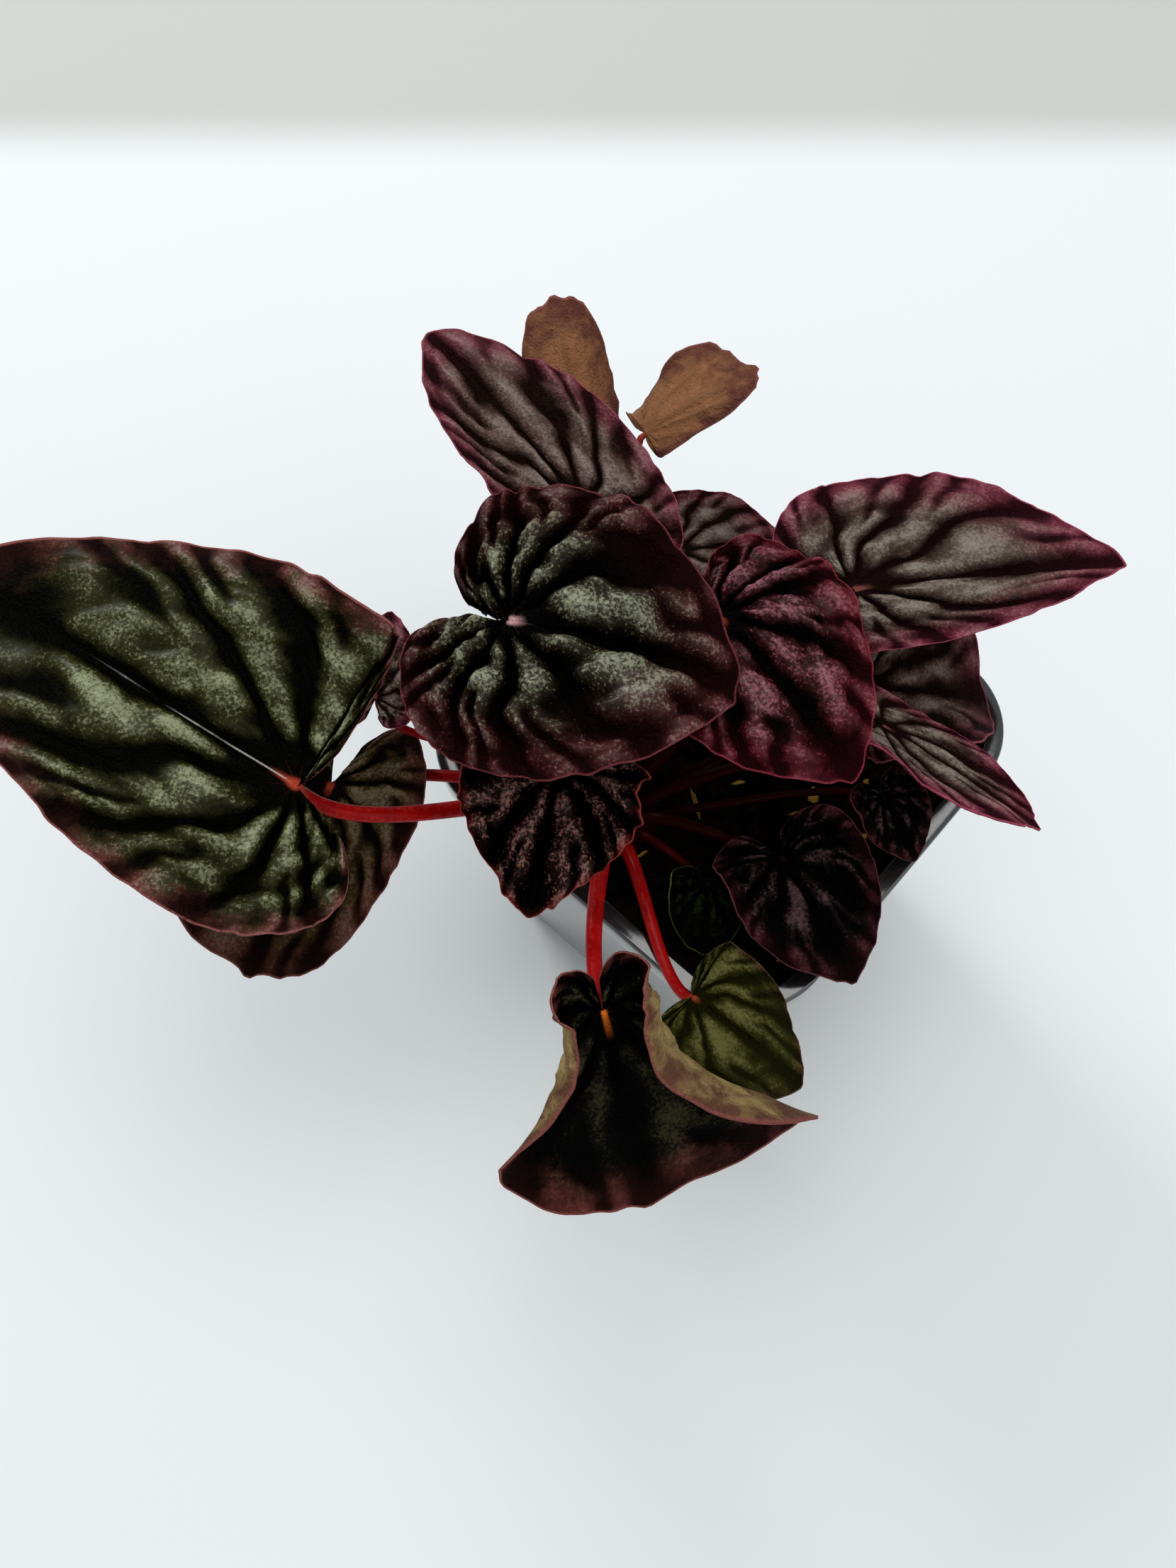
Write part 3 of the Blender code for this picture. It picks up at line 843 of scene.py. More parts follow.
# Name, joint, heading, rise, roll, length, width, root angle and radius, tone, stalk width,
# detail and droop come first, in the order of the fields.
LEAVES = (
    Leaf("left_large", (-65, -24, 106), 149, 11, 0, 67, 58, 192, 6.0, Tone.OLIVE, 3.0, L, 15,
         cup_left=0, cup_right=34, side_left=0.84, side_right=0.94, lobe_left=0.7,
         lobe_right=0.12, ripple=2.4, mounds=8, stalk_light=1.0),
    Leaf("left_under", (-66, -13, 81), -108, 3, 12, 42, 44, 174, 7.5, Tone.BRONZE, blunt=0.9,
         side_left=0.72, phase=1.0, mounds=3, stalk_light=0.6),
    Leaf("left_small", (-57, -4, 95), 83, 21, 0, 15, 14, 152, 7.5, Tone.MAUVE, 1.6, S, 20,
         ripple=0.5, stalk_light=0.8),
    Leaf("top_middle", (-34, -5, 120), -15, 9, -5, 35, 43, 130, 3.0, Tone.DUSK, 3.0, L, 40,
         cup_left=-10, cup_right=-25, lobe_left=0.8, lobe_right=1.0, spread=172, ripple=4.2, mounds=7),
    Leaf("right_middle", (-4, 1, 111), -51, 8, 0, 32, 36, 48, 3.5, Tone.MAGENTA, 2.8, L, 40,
         cup_left=-15, cup_right=-15, lobe_left=0.85, ripple=2.4, phase=2.0, mounds=5, crimp=0.06),
    Leaf("right_large", (19, 11, 103), 6, 6, 0, 44, 42, 34, 6.5, Tone.MAUVE, 2.8, L, 10,
         cup_left=-5, cup_right=-60, side_left=0.93, side_right=0.52, lobe_left=0.8,
         lobe_right=0.4, ripple=2.0),
    Leaf("right_narrow", (24, -8, 93), -40, 9, 18, 34, 20, 2, 6.5, Tone.MAUVE, 2.2, droop=10,
         cup_right=20, cup_tip=20, side_left=0.6, side_right=0.9, blunt=0.8, ripple=0.8),
    Leaf("right_under", (24.5, 4.1, 83), 0, 1, 0, 27, 34, 15, 8.0, Tone.CLAY, 2.2,
         cup_left=90, cup_tip=60, lobe_right=0.4, blunt=0.8, ripple=0.9, phase=0.5),
    Leaf("back_large", (-24, 23, 108), 127, 10, 0, 48.5, 34, 96, 5.0, Tone.CLAY, 3.0, L, 20,
         side_left=0.7, side_right=0.78, blunt=0.4, ripple=2.0, phase=1.5),
    Leaf("back_left_young", (-24, 49, 94), 105, 37, 180, 31, 18, 108, 8.0, Tone.TAN, 1.8, S,
         -20, cup_left=60, cup_right=60, lobe_left=0.1, lobe_right=0.1, blunt=1.0, ripple=0.5,
         stalk_lean=0, stalk_back=1.0, stalk_light=0.8),
    Leaf("back_right_young", (-13, 46, 98), 28, 20, 180, 27, 22, 84, 8.0, Tone.TAN, 1.8, S,
         -20, cup_left=50, cup_right=50, side_left=0.45, side_right=1.1, flare=0.5,
         lobe_left=0.1, lobe_right=0.1, blunt=0.8, ripple=0.5, stalk_lean=0,
         stalk_back=1.2, stalk_light=0.8),
    Leaf("back_under", (-7, 32, 83), 6, 10, 0, 23, 22, 66, 8.0, Tone.CLAY, 2.0, blunt=0.5,
         ripple=0.8),
    Leaf("front_small", (-27.5, -20.5, 104), -102, -13, 0, 23, 28, 235, 4.0, Tone.EMBER, 2.4,
         L, 10, cup_left=30, cup_right=30, cup_tip=0, lobe_left=0.6, lobe_right=0.6,
         flare=-0.3, ripple=2.8, wave=0.9, waves=11.0, mounds=5, crimp=0.05, jag=0.035),
    Leaf("front_cone", (-21, -54, 94), -75, -37, 0, 38, 62, 268, 6.5, Tone.MOSS, 3.0, L, 0,
         fold=5, cup_left=370, cup_right=420, cup_tip=0, cup_reach=0.75, side_left=1.08,
         side_right=0.78, lobe_left=0.6, lobe_right=0.6, lobe_rise=25, spread=176, waist=0.45,
         blunt=0.7, level=0.4, ripple=1.0, mounds=3, stalk_light=1.0),
    Leaf("front_under", (-7, -49, 82), -37, -1, 0, 22, 27, 292, 8.0, Tone.LIME, 2.4,
         side_left=0.75, lobe_left=0.3, lobe_right=0.3, phase=1.0, mounds=2, crimp=0.0,
         stalk_light=0.9),
    Leaf("front_right", (8.5, -25.5, 80), -64, 10, 0, 25, 25, 338, 7.0, Tone.SHADE, 2.2,
         droop=25, lobe_left=0.7, lobe_right=0.7, blunt=0.3, mounds=2, crimp=0.0),
    Leaf("right_round", (25.8, -15.6, 81.6), -62, -5, 0, 12, 13, 352, 8.5, Tone.SHADE, 1.6, S,
         ripple=0.4, wave=0.3),
    Leaf("soil_small", (-3.5, -28.8, 76.8), -95, 6, 0, 14, 13, 318, 8.0, Tone.FERN, 1.6, S,
         lobe_left=0.5, lobe_right=0.5, blunt=0.6, ripple=0.4, wave=0.3),
    Leaf("right_bud", (28, 16, 84), -72, -3, 0, 6, 8, 42, 8.6, Tone.FERN, 1.4, S,
         ripple=0.2, wave=0.1),
)


@dataclass(frozen=True)
class Noise:
    """Lattice noise over a blade: its strength, cells across and along, seed and shift."""

    strength: float
    across: float
    along: float
    seed: int
    shift: float = 0.0

    def at(self, vein: Array, reach: Array, seed: int) -> Array:
        """Noise at places on the blade whose own seed is given."""
        place = vein * self.across + self.shift
        return self.strength * lattice_noise(place, reach * self.along, seed + self.seed)


@dataclass
class Blade:
    """A leaf's blade: a thin closed sheet fanned round its joint.

    A place on it has two shares: vein is -1 to 1 round the joint with 0 on the midrib, and
    reach is 0 at the joint to 1 at the margin.
    """

    leaf: Leaf
    seed: int
    thickness: float = 0.62
    rim_thickness: float = 0.34
    pads: int = 5
    vein_bend: float = 14.0
    widest: float = 0.555
    blunt_cut: float = 0.2
    tip_angle: float = 15.0
    waist_end: float = 0.6
    flare_start: float = 0.25
    lobe_length: float = 0.35

    ANGLES: ClassVar[Array] = np.radians([0, 9, 17, 34, 52, 72, 92, 110, 128, 145, 160])
    RADII: ClassVar[Array] = np.array([1.0, 0.91, 0.84, 0.73, 0.65, 0.59, 0.555, 0.53, 0.48, 0.4, 0.24])
    WANDER: ClassVar[Noise] = Noise(0.30, 7, 3.2, seed=0, shift=20)
    QUIVER: ClassVar[Noise] = Noise(0.07, 18, 9, seed=7, shift=3)
    CROSS: ClassVar[Noise] = Noise(1.0, 22, 13, seed=3)
    PUCKER: ClassVar[Noise] = Noise(1.0, 46, 30, seed=6)
    FRILL: ClassVar[Noise] = Noise(0.32, 24, 2, seed=4, shift=3)
    NOTCH: ClassVar[Noise] = Noise(1.0, 40, 1, seed=5, shift=9)

    def margin(self, angle: Array) -> Array:
        """Reach of the outline at an angle from the midrib, for a length of 1.

        Formula: a cubic through the given radii, with their own slopes at each angle.

        Args:
            angle: Angles in radians, 0 or more.

        Returns:
            The outline's distance from the joint.
        """
        slopes = np.gradient(self.RADII, self.ANGLES)
        index = np.clip(np.searchsorted(self.ANGLES, angle) - 1, 0, len(self.ANGLES) - 2)
        span = self.ANGLES[index + 1] - self.ANGLES[index]
        along = (angle - self.ANGLES[index]) / span
        square, cube = along**2, along**3
        return (
            (2 * cube - 3 * square + 1) * self.RADII[index]
            + (cube - 2 * square + along) * span * slopes[index]
            + (3 * square - 2 * cube) * self.RADII[index + 1]
            + (cube - square) * span * slopes[index + 1]
        )

    def narrowing(self, along: Array) -> Array:
        """Share of the width that the waist leaves, at a share of the length."""
        return self.leaf.waist + (1 - self.leaf.waist) * smoothstep(along / self.waist_end)

    def flat(self, vein: Array, reach: Array) -> tuple[Array, Array]:
        """Flat place on the blade.

        Formula: each vein is a quadratic curve from the joint to the margin that leaves
        a little wider than it ends, then the sides, waist, tip and lobes are scaled.

        Args:
            vein: Shares round the joint.
            reach: Shares from the joint to the margin.

        Returns:
            Distances across and along the blade.
        """
        leaf = self.leaf
        opened = np.abs(vein) * self.ANGLES[-1]
        cut = self.blunt_cut * leaf.blunt * hump(opened / math.radians(self.tip_angle))
        radius = self.margin(opened) - cut
        angle = np.abs(vein) * math.radians(leaf.spread)
        start = angle + math.radians(self.vein_bend) * np.sin(np.pi * np.abs(vein))
        ease, rest = reach * (1 - reach), reach * reach
        across = radius * (ease * np.sin(start) + rest * np.sin(angle))
        along = radius * (ease * np.cos(start) + rest * np.cos(angle))
        across = np.sign(vein) * across * 0.5 * leaf.width / self.widest
        across = across * np.where(vein < 0, leaf.side_left, leaf.side_right) * self.narrowing(along)
        tipward = smoothstep((along - self.flare_start) / (1 - self.flare_start))
        across = across * (1 + leaf.flare * tipward)
        lobe = np.where(vein < 0, leaf.lobe_left, leaf.lobe_right)
        return across, leaf.length * np.where(along < 0, along * lobe, along)

    def bent(self, vein: Array, reach: Array) -> Array:
        """Smooth middle surface.

        Formula: the spine is an arc of droop ahead of the joint and of lobe_rise behind
        it. From the spine each side leaves at the fold angle, runs straight for its level
        share and then follows an arc of cup.

        Args:
            vein: Shares round the joint.
            reach: Shares from the joint to the margin.

        Returns:
            Places right, forward and up from the joint.
        """
        leaf, tiny = self.leaf, 1e-6
        across, along = self.flat(vein, reach)
        droop = math.radians(leaf.droop or 0.001) / leaf.length
        lift = math.radians(leaf.lobe_rise) / (self.lobe_length * leaf.length)
        ahead = along >= 0
        turn = np.where(ahead, droop * along, -lift * along)
        spine_y = np.where(ahead, np.sin(droop * along) / droop, np.sin(lift * along) / lift)
        fall = (np.cos(droop * along) - 1) / droop
        spine_z = np.where(ahead, fall, (1 - np.cos(lift * along)) / lift)
        base = np.where(across < 0, leaf.cup_left, leaf.cup_right)
        cup = base + (leaf.cup_tip - base) * smoothstep(along / (leaf.cup_reach * leaf.length))
        curve = np.radians(cup) / (0.5 * leaf.width)
        curve = np.where(np.abs(curve) < tiny, tiny, curve)
        fold = math.radians(leaf.fold)
        level = 0.5 * leaf.width * leaf.level * self.narrowing(along / leaf.length) ** 2
        straight = np.minimum(np.abs(across), level)
        swept = fold + curve * (np.abs(across) - straight)
        side = straight * math.cos(fold) + (np.sin(swept) - math.sin(fold)) / curve
        rise = straight * math.sin(fold) + (math.cos(fold) - np.cos(swept)) / curve
        places = [np.sign(across) * side, spine_y + rise * np.sin(turn), spine_z + rise * np.cos(turn)]
        return np.stack(places, -1)

    def normals(self, vein: Array, reach: Array) -> Array:
        """Unit normals of the smooth surface's upper side, by small steps along it.

        Args:
            vein: Shares round the joint.
            reach: Shares from the joint to the margin.

        Returns:
            The normals, in the blade's own directions.
        """
        step, nearest = 0.01, 0.08
        reach = np.clip(reach, nearest, 1.0)
        sideways = self.bent(vein + step, reach) - self.bent(vein - step, reach)
        outward = self.bent(vein, reach + step) - self.bent(vein, reach - step)
        return unit(np.cross(sideways, outward))

    def aside(self, vein: Array, reach: Array) -> Array:
        """Distance from the pale line that winds along the midrib.

        Args:
            vein: Shares round the joint.
            reach: Shares from the joint to the margin.

        Returns:
            The distances in metres.
        """
        swing, pace, start = 1.1, 7.5, 0.4
        winding = swing * reach * np.sin(pace * reach + start)
        across = np.radians(self.leaf.spread) * vein * reach * self.leaf.length
        return np.abs(across + winding) * MM

    def relief(self, vein: Array, reach: Array) -> tuple[Array, Array, Array]:
        """Pads with their mounds, beads and forks, puckers and the crinkled margin.

        Formula: place counts the pads from the midrib, with wandering veins, and a pad is
        |sin(pi place)|^0.62. Mounds, part noise and part cosine, repeat along it with
        their own shift, beads are finer noise on it, and a fork opens as a bell in its
        outer half. Noise crosses and puckers the whole blade. The margin follows one slow
        wave with reach^3 and a quick one with reach^8.

        Args:
            vein: Shares round the joint.
            reach: Shares from the joint to the margin.

        Returns:
            The height, how far up a pad each point is, and how near a vein.
        """
        leaf, seed = self.leaf, self.seed
        wander = self.WANDER.at(vein, reach, seed) + self.QUIVER.at(vein, reach, seed)
        off_midrib = 1 - hump(np.abs(vein) * self.pads / 0.25)
        place = np.abs(vein) * self.pads + wander * smoothstep(reach / 0.4) * off_midrib
        part = place - np.floor(place)
        pad_round = 0.62
        pad = np.abs(np.sin(np.pi * place)) ** pad_round

        last_pad, other_side = self.pads - 0.001, 8
        index = (np.floor(np.clip(place, 0, last_pad)) + other_side * (vein > 0)).astype(int)
        shift = np.random.default_rng(seed).uniform(0, 9, 32)[index]
        mound = lattice_noise(place * 1.3 + 3 * shift, reach * leaf.mounds, seed + 2)
        beat = np.cos(2 * np.pi * (0.55 * leaf.mounds * reach + shift + 0.35 * part))
        mound = 0.5 + 0.3 * mound + 0.2 * beat
        bead = lattice_noise(place * 2.6 + 5 * shift, reach * 3.4 * leaf.mounds, seed + 8)
        fork_start, fork_stagger, fork_length, fork_width = 0.42, 0.25, 0.2, 0.10
        split = smoothstep((reach - fork_start - fork_stagger * (shift % 1)) / fork_length)
        fork = hump((part - 0.5) / fork_width) * split
        cross, pucker = self.CROSS.at(vein, reach, seed), self.PUCKER.at(vein, reach, seed)

        mound_rise, fork_depth, bead_rise, cross_rise = 0.55, 0.38, 0.10, 0.12
        swell = leaf.ripple * smoothstep(reach / 0.35) * (1 - 0.5 * smoothstep((reach - 0.8) / 0.2))
        height = pad - 0.5 + pad * (mound_rise * (mound - 0.5) - fork_depth * fork)
        height = height + bead_rise * pad**2 * bead + cross_rise * cross + leaf.crimp * pucker
        slow = np.sin(vein * np.pi * leaf.waves + leaf.phase) * reach**3
        height = swell * height + leaf.wave * (slow + self.FRILL.at(vein, reach, seed) * reach**8)

        ridge = pad * (0.58 + 0.50 * mound) * (1 - 0.6 * fork)
        ridge = ridge + 0.10 * cross + 1.1 * leaf.crimp * pucker + 0.07 * pad * bead
        ridge = np.clip(ridge, 0, 1) * smoothstep((reach - 0.03) / 0.24)
        near_vein = np.minimum(part, 1 - part) / (0.035 + 0.03 * reach)
        return height, ridge, hump(near_vein) * (1 - 0.5 * reach)

    def faces(self, columns: int, rows: int) -> list[Array]:
        """Faces of the closed sheet.

        Args:
            columns: Number of veins in the fan.
            rows: Number of points along one.

        Returns:
            Upper and lower side, the fans at the joint, the rim and the fan's two edges.
        """
        size = columns * rows
        top, bottom = 2 * size, 2 * size + 1
        around = np.arange(columns) * rows
        first, second, rim = around[:-1], around[1:], around + rows - 1
        faces = [
            grid_faces(columns, rows),
            grid_faces(columns, rows, start=size)[:, ::-1],
            np.stack([first, second, np.full_like(first, top)], -1),
            np.stack([np.full_like(first, bottom), second + size, first + size], -1),
            np.stack([rim[:-1], rim[:-1] + size, rim[1:] + size, rim[1:]], -1),
        ]
        for start, order in ((0, -1), (size - rows, 1)):
            edge = np.arange(rows) + start
            chain, under = np.append(top, edge), np.append(bottom, edge + size)
            wall = np.stack([chain[:-1], under[:-1], under[1:], chain[1:]], -1)
            faces.append(wall[:, ::order])
        return faces

    def build(self) -> Surface:
        """Work out the closed sheet and the values that its skin reads.

        Returns:
            The sheet.
        """
        columns, rows = self.leaf.detail.value
        fan, spoke = np.linspace(-1, 1, columns), np.linspace(0, 1, rows + 1)[1:]
        vein, reach = np.meshgrid(fan, spoke, indexing="ij")
        normals = self.normals(vein, reach)
        height, ridge, line = self.relief(vein, reach)
        notch = self.leaf.jag * self.NOTCH.at(vein, np.full_like(vein, 2.0), self.seed)
        upper = self.bent(vein, reach * (1 + notch * reach**4)) + normals * height[..., None]
        depth = self.thickness + (self.rim_thickness - self.thickness) * reach**6
        lower = upper - normals * depth[..., None]
        tips = np.array([[0.0, 0.0, 0.0], [0.0, 0.0, -self.thickness]])
        local = np.concatenate([upper.reshape(-1, 3), lower.reshape(-1, 3), tips])
        points = local @ self.leaf.axes() + np.array(self.leaf.joint, dtype=float)

        def both(values: Array, tip: float) -> Array:
            """Give a value to the upper and lower side and to the joint's two points."""
            return np.concatenate([values.ravel(), values.ravel(), [tip, tip]])

        values = {
            "ridge": both(ridge, 0.0),
            "vein": both(line, 1.0),
            "aside": both(self.aside(vein, reach), 1.0),
            "reach": both(reach, 0.0),
            "under": np.repeat([0.0, 1.0, 0.0, 1.0], [vein.size, vein.size, 1, 1]),
        }
        return Surface(f"leaf_{self.leaf.name}", points, self.faces(columns, rows), values)


@dataclass
class Crown:
    """The short stump that the stalks grow from: a lumpy post with a domed top."""

    at: tuple[float, float] = (-20.0, -14.0)
    radius: float = 9.0
    bottom: float = 62.0
    shoulder: float = 72.0
    rise: float = 5.0
    sides: int = 72
    rows: int = 40
    post_share: float = 0.4
    lumps: float = 0.05
    seed: int = 71

    def root(self, leaf: Leaf) -> tuple[Array, Array]:
        """Find where a stalk starts.

        Args:
            leaf: The stalk's leaf.

        Returns:
            Its place on the dome, and the dome's normal there.
        """
        angle = math.radians(leaf.root_angle)
        flat = np.array([math.cos(angle), math.sin(angle), 0.0]) * leaf.root_radius
        height = self.rise * math.sqrt(1 - (leaf.root_radius / self.radius) ** 2)
        normal = flat / self.radius**2 + np.array([0.0, 0.0, height / self.rise**2])
        place = np.array([*self.at, self.shoulder + height]) + flat
        return place, unit(normal)

    def build(self) -> Surface:
        """Turn the profile round.

        Formula: up to post_share the radius is constant, then it follows a cosine and the
        height a sine; noise that fades at the seam lifts and widens both.

        Returns:
            The stump.
        """
        share, turn = np.linspace(0, 1, self.rows)[:, None], turns(self.sides)
        share, turn = np.broadcast_arrays(share, turn)
        top_end = 0.985
        bend = np.clip((share - self.post_share) / (1 - self.post_share), 0, top_end) * np.pi / 2
        lump = self.lumps * fractal(turn * 3.0, share * 9, self.seed) * np.sin(turn / 2) ** 2
        radius = self.radius * np.cos(bend) * (1 + lump)
        low = self.bottom + (self.shoulder - self.bottom) * np.minimum(share / self.post_share, 1)
        height = low + self.rise * np.sin(bend) * (1 + 0.6 * lump)
        x, y = self.at[0] + radius * np.cos(turn), self.at[1] + radius * np.sin(turn)
        ends = ([*self.at, self.bottom], [*self.at, self.shoulder + self.rise])
        surface = Surface.tube("crown_stump", np.stack([x, y, height], -1), *ends)
        plain = np.zeros(len(surface.points))
        # Painted shade: the stump carries no light value, so its flesh takes the stalks' shade colour all
        # over.
        surface.values = {"along": plain, "streak": plain}
        return surface


@dataclass
class Stalk:
    """A leaf's stalk: a fleshy tube from the crown to the blade's joint."""

    leaf: Leaf
    crown: Crown
    steps: int = 44
    sides: int = 20
    taper: float = 0.75
    blade_gap: float = 1.2
    sink: float = 1.2
    leaving_pull: float = 0.35
    arriving_pull: float = 0.3
    end_depth: float = 0.3
    shadow_end: float = 18.0
    shadow_fade: float = 12.0

    def route(self) -> tuple[Array, Array]:
        """Follow the solid's route.

        Formula: a cubic Bezier curve that leaves along the dome's normal and arrives
        leaning towards the blade, with one more point in the crown and one in the blade.

        Returns:
            The route's points and its directions there.
        """
        leaf = self.leaf
        _, forward, above = leaf.axes()
        joint = np.array(leaf.joint, dtype=float)
        start, leaving = self.crown.root(leaf)
        if leaf.stalk_back:
            end = joint - forward * leaf.stalk_back
            span = np.linalg.norm(end - start)
            arriving = unit(forward + 2 * (end - start) / span)
        else:
            end = joint - above * (self.blade_gap + 0.5 * leaf.stalk * self.taper)
            span = np.linalg.norm(end - start)
            lean = math.radians(leaf.stalk_lean)
            arriving = forward * math.cos(lean) + above * math.sin(lean)
        pulled = (start + leaving * self.leaving_pull * span, end - arriving * self.arriving_pull * span)
        along = np.linspace(0, 1, self.steps)[:, None]
        rest = 1 - along
        weights = (rest**3, 3 * rest**2 * along, 3 * rest * along**2, along**3)
        path = sum(weight * control for weight, control in zip(weights, (start, *pulled, end)))
        path = np.concatenate([[start - leaving * self.sink], path, [joint - above * self.end_depth]])
        return path, unit(np.gradient(path, axis=0))

    def build(self) -> Surface:
        """Carry a ring along the route.

        Formula: the radius tapers, swells by a tenth at the foot, narrows at the blade, and
        has three soft ribs, 0.035 cos(3 turn + 4 share), and one groove on its upper side.

        Returns:
            The tube, closed at both ends.
        """
        path, heading = self.route()
        off_axis = np.array([1e-3, 2e-3, 0.0])
        steady = unit(np.cross(path[-1] - path[0], [0.0, 0.0, 1.0]) + off_axis)
        side = unit(steady - heading * (heading @ steady)[:, None])
        over = np.cross(heading, side)
        share, turn = np.linspace(0, 1, len(path))[:, None], turns(self.sides)
        radius = 0.5 * self.leaf.stalk * (1 - (1 - self.taper) * share)
        radius = radius * (1 + 0.10 * hump(share / 0.08))
        radius = radius * (1 - 0.35 * smoothstep((share - 0.965) / 0.035))
        ribs = 0.035 * np.cos(3 * turn + 4 * share)
        radius = radius * (1 + ribs - 0.05 * hump((turn - np.pi / 2) / 0.5))
        ring = (radius * np.cos(turn))[..., None] * side[:, None, :]
        ring = ring + (radius * np.sin(turn))[..., None] * over[:, None, :]
        name = f"stem_{self.leaf.name}"
        surface = Surface.tube(name, path[:, None, :] + ring, path[0], path[-1])
        streak = np.tile(0.5 + 0.5 * np.sin(4 * turn[0]), len(path))
        away = np.hypot(surface.points[:, 0], surface.points[:, 1])
        surface.values = {
            "along": np.append(np.repeat(share[:, 0], self.sides), [0.0, 1.0]),
            "streak": np.append(streak, [0.0, 0.0]),
            "light": self.leaf.stalk_light * smoothstep((away - self.shadow_end) / self.shadow_fade),
        }
        return surface


@dataclass
class Pot:
    """Tapered square pot with round corners, a lip and drain holes."""

    height: float = 76.0
    rim_side: float = 80.0
    base_side: float = 63.0
    rim_radius: float = 16.0
    base_radius: float = 12.0
    lip: float = 1.6
    lip_depth: float = 5.0
    wall: float = 1.5
    floor: float = 2.0
    turn: float = 48.0
    foot_bevel: float = 0.8
    under_bevel: float = 0.25
    rim_bevel: float = 0.65
    mouth_bevel: float = 0.35
    corner_steps: int = 22
    side_steps: int = 10
    drain_diameter: float = 7.0
    drain_offset: float = 19.0
    drain_sides: int = 40

    def outline(self, side: Array, radius: Array) -> Array:
        """Square with rounded corners, turned as the pot stands.

        Formula: as complex numbers, a quarter is a corner's arc, middle + radius e^(ia),
        and a straight run beside it. The other quarters are that one times i.

        Args:
            side: Sides of the squares.
            radius: Their corner radii.

        Returns:
            Points of each outline, without their heights.
        """
        side, radius = np.asarray(side)[:, None], np.asarray(radius)[:, None]
        middle = side / 2 - radius
        arc = np.exp(1j * np.linspace(0, np.pi / 2, self.corner_steps))
        run = np.linspace(1, -1, self.side_steps + 2)[1:-1]
        quarter = np.concatenate([middle * (1 + 1j) + radius * arc, middle * run + 0.5j * side], 1)
        whole = np.concatenate([quarter * 1j**count for count in range(4)], 1)
        whole = whole * np.exp(1j * math.radians(self.turn))
        return np.stack([whole.real, whole.imag], -1)

    def wall_size(self, height: Array) -> tuple[Array, Array]:
        """Size of the outer wall, which widens evenly from the foot.

        Args:
            height: Heights above the foot.

        Returns:
            Sides and corner radii.
        """
        share = np.asarray(height) / self.height
        side = self.base_side + (self.rim_side - 2 * self.lip - self.base_side) * share
        radius = self.base_radius + (self.rim_radius - self.lip - self.base_radius) * share
        return side, radius

    def inner_size(self, height: Array, clearance: float = 0.0) -> tuple[Array, Array]:
        """Size inside the wall.

        Args:
            height: Heights above the foot.
            clearance: Further gap to the wall.

        Returns:
            Sides and corner radii.
        """
        side, radius = self.wall_size(height)
        inset = self.wall + clearance
        return side - 2 * inset, radius - inset

    def profile(self) -> Array:
        """Rings from the foot over the lip to the inside floor.

        Formula: straight walls between quarter rounds, whose points lie in by the bevel
        times 1 - sin a and up by the bevel times 1 - cos a, or the other way round.

        Returns:
            Sides, corner radii and heights, one row each.
        """

        def rings(size: tuple[Array, Array], inset: Array, height: Array) -> Array:
            """Side, corner radius and height of rings drawn in by an inset."""
            row = np.broadcast_arrays(size[0] - 2 * inset, size[1] - inset, height)
            return np.stack(row, -1).reshape(-1, 3)

        under = self.height - self.lip_depth
        outside = np.array([6.0, 16.0, 28.0, 40.0, 52.0, 62.0, under - 1.2, under - 0.2])
        inside = np.array([70.0, 60.0, 40.0, 20.0, self.floor + 0.6])
        rim = (self.rim_side, self.rim_radius)
        side, radius = self.wall_size(under)
        fine, small = quarter_turn(5), quarter_turn(4)
        lip_start, lip_round = 0.2, 0.5
        lip_heights = under + self.under_bevel + lip_round * np.linspace(lip_start, 1, 4)
        table = [
            rings(self.wall_size(0.0), self.foot_bevel * fine[0], self.foot_bevel * fine[1]),
            rings(self.wall_size(outside), 0.0, outside),
            [[side + 0.25, radius + 0.12, under]],
            rings(rim, self.under_bevel, under + 0.22),
            rings(rim, self.under_bevel * quarter_turn(4, lip_start)[0], lip_heights),
            rings(rim, 0.0, self.height - 2.0),
            rings(rim, self.rim_bevel * fine[1], self.height - self.rim_bevel * fine[0]),
            rings(
                self.inner_size(self.height),
                -self.mouth_bevel * small[0],
                self.height - self.mouth_bevel * small[1],
            ),
            rings(self.inner_size(inside), 0.0, inside),
            rings(self.inner_size(self.floor), 0.5, self.floor),
        ]
        return np.concatenate(table).T

    def build(self) -> Surface:
        """Carry the outline up the profile and close the foot and the inside floor.

        Returns:
            The pot, without its drain holes.
        """
        side, radius, height = self.profile()
        flat = self.outline(side, radius)
        tall = np.broadcast_to(height[:, None], flat.shape[:2])
        rings = np.concatenate([flat, tall[..., None]], -1)
        return Surface.tube("nursery_pot", rings, [0.0, 0.0, 0.0], [0.0, 0.0, self.floor])

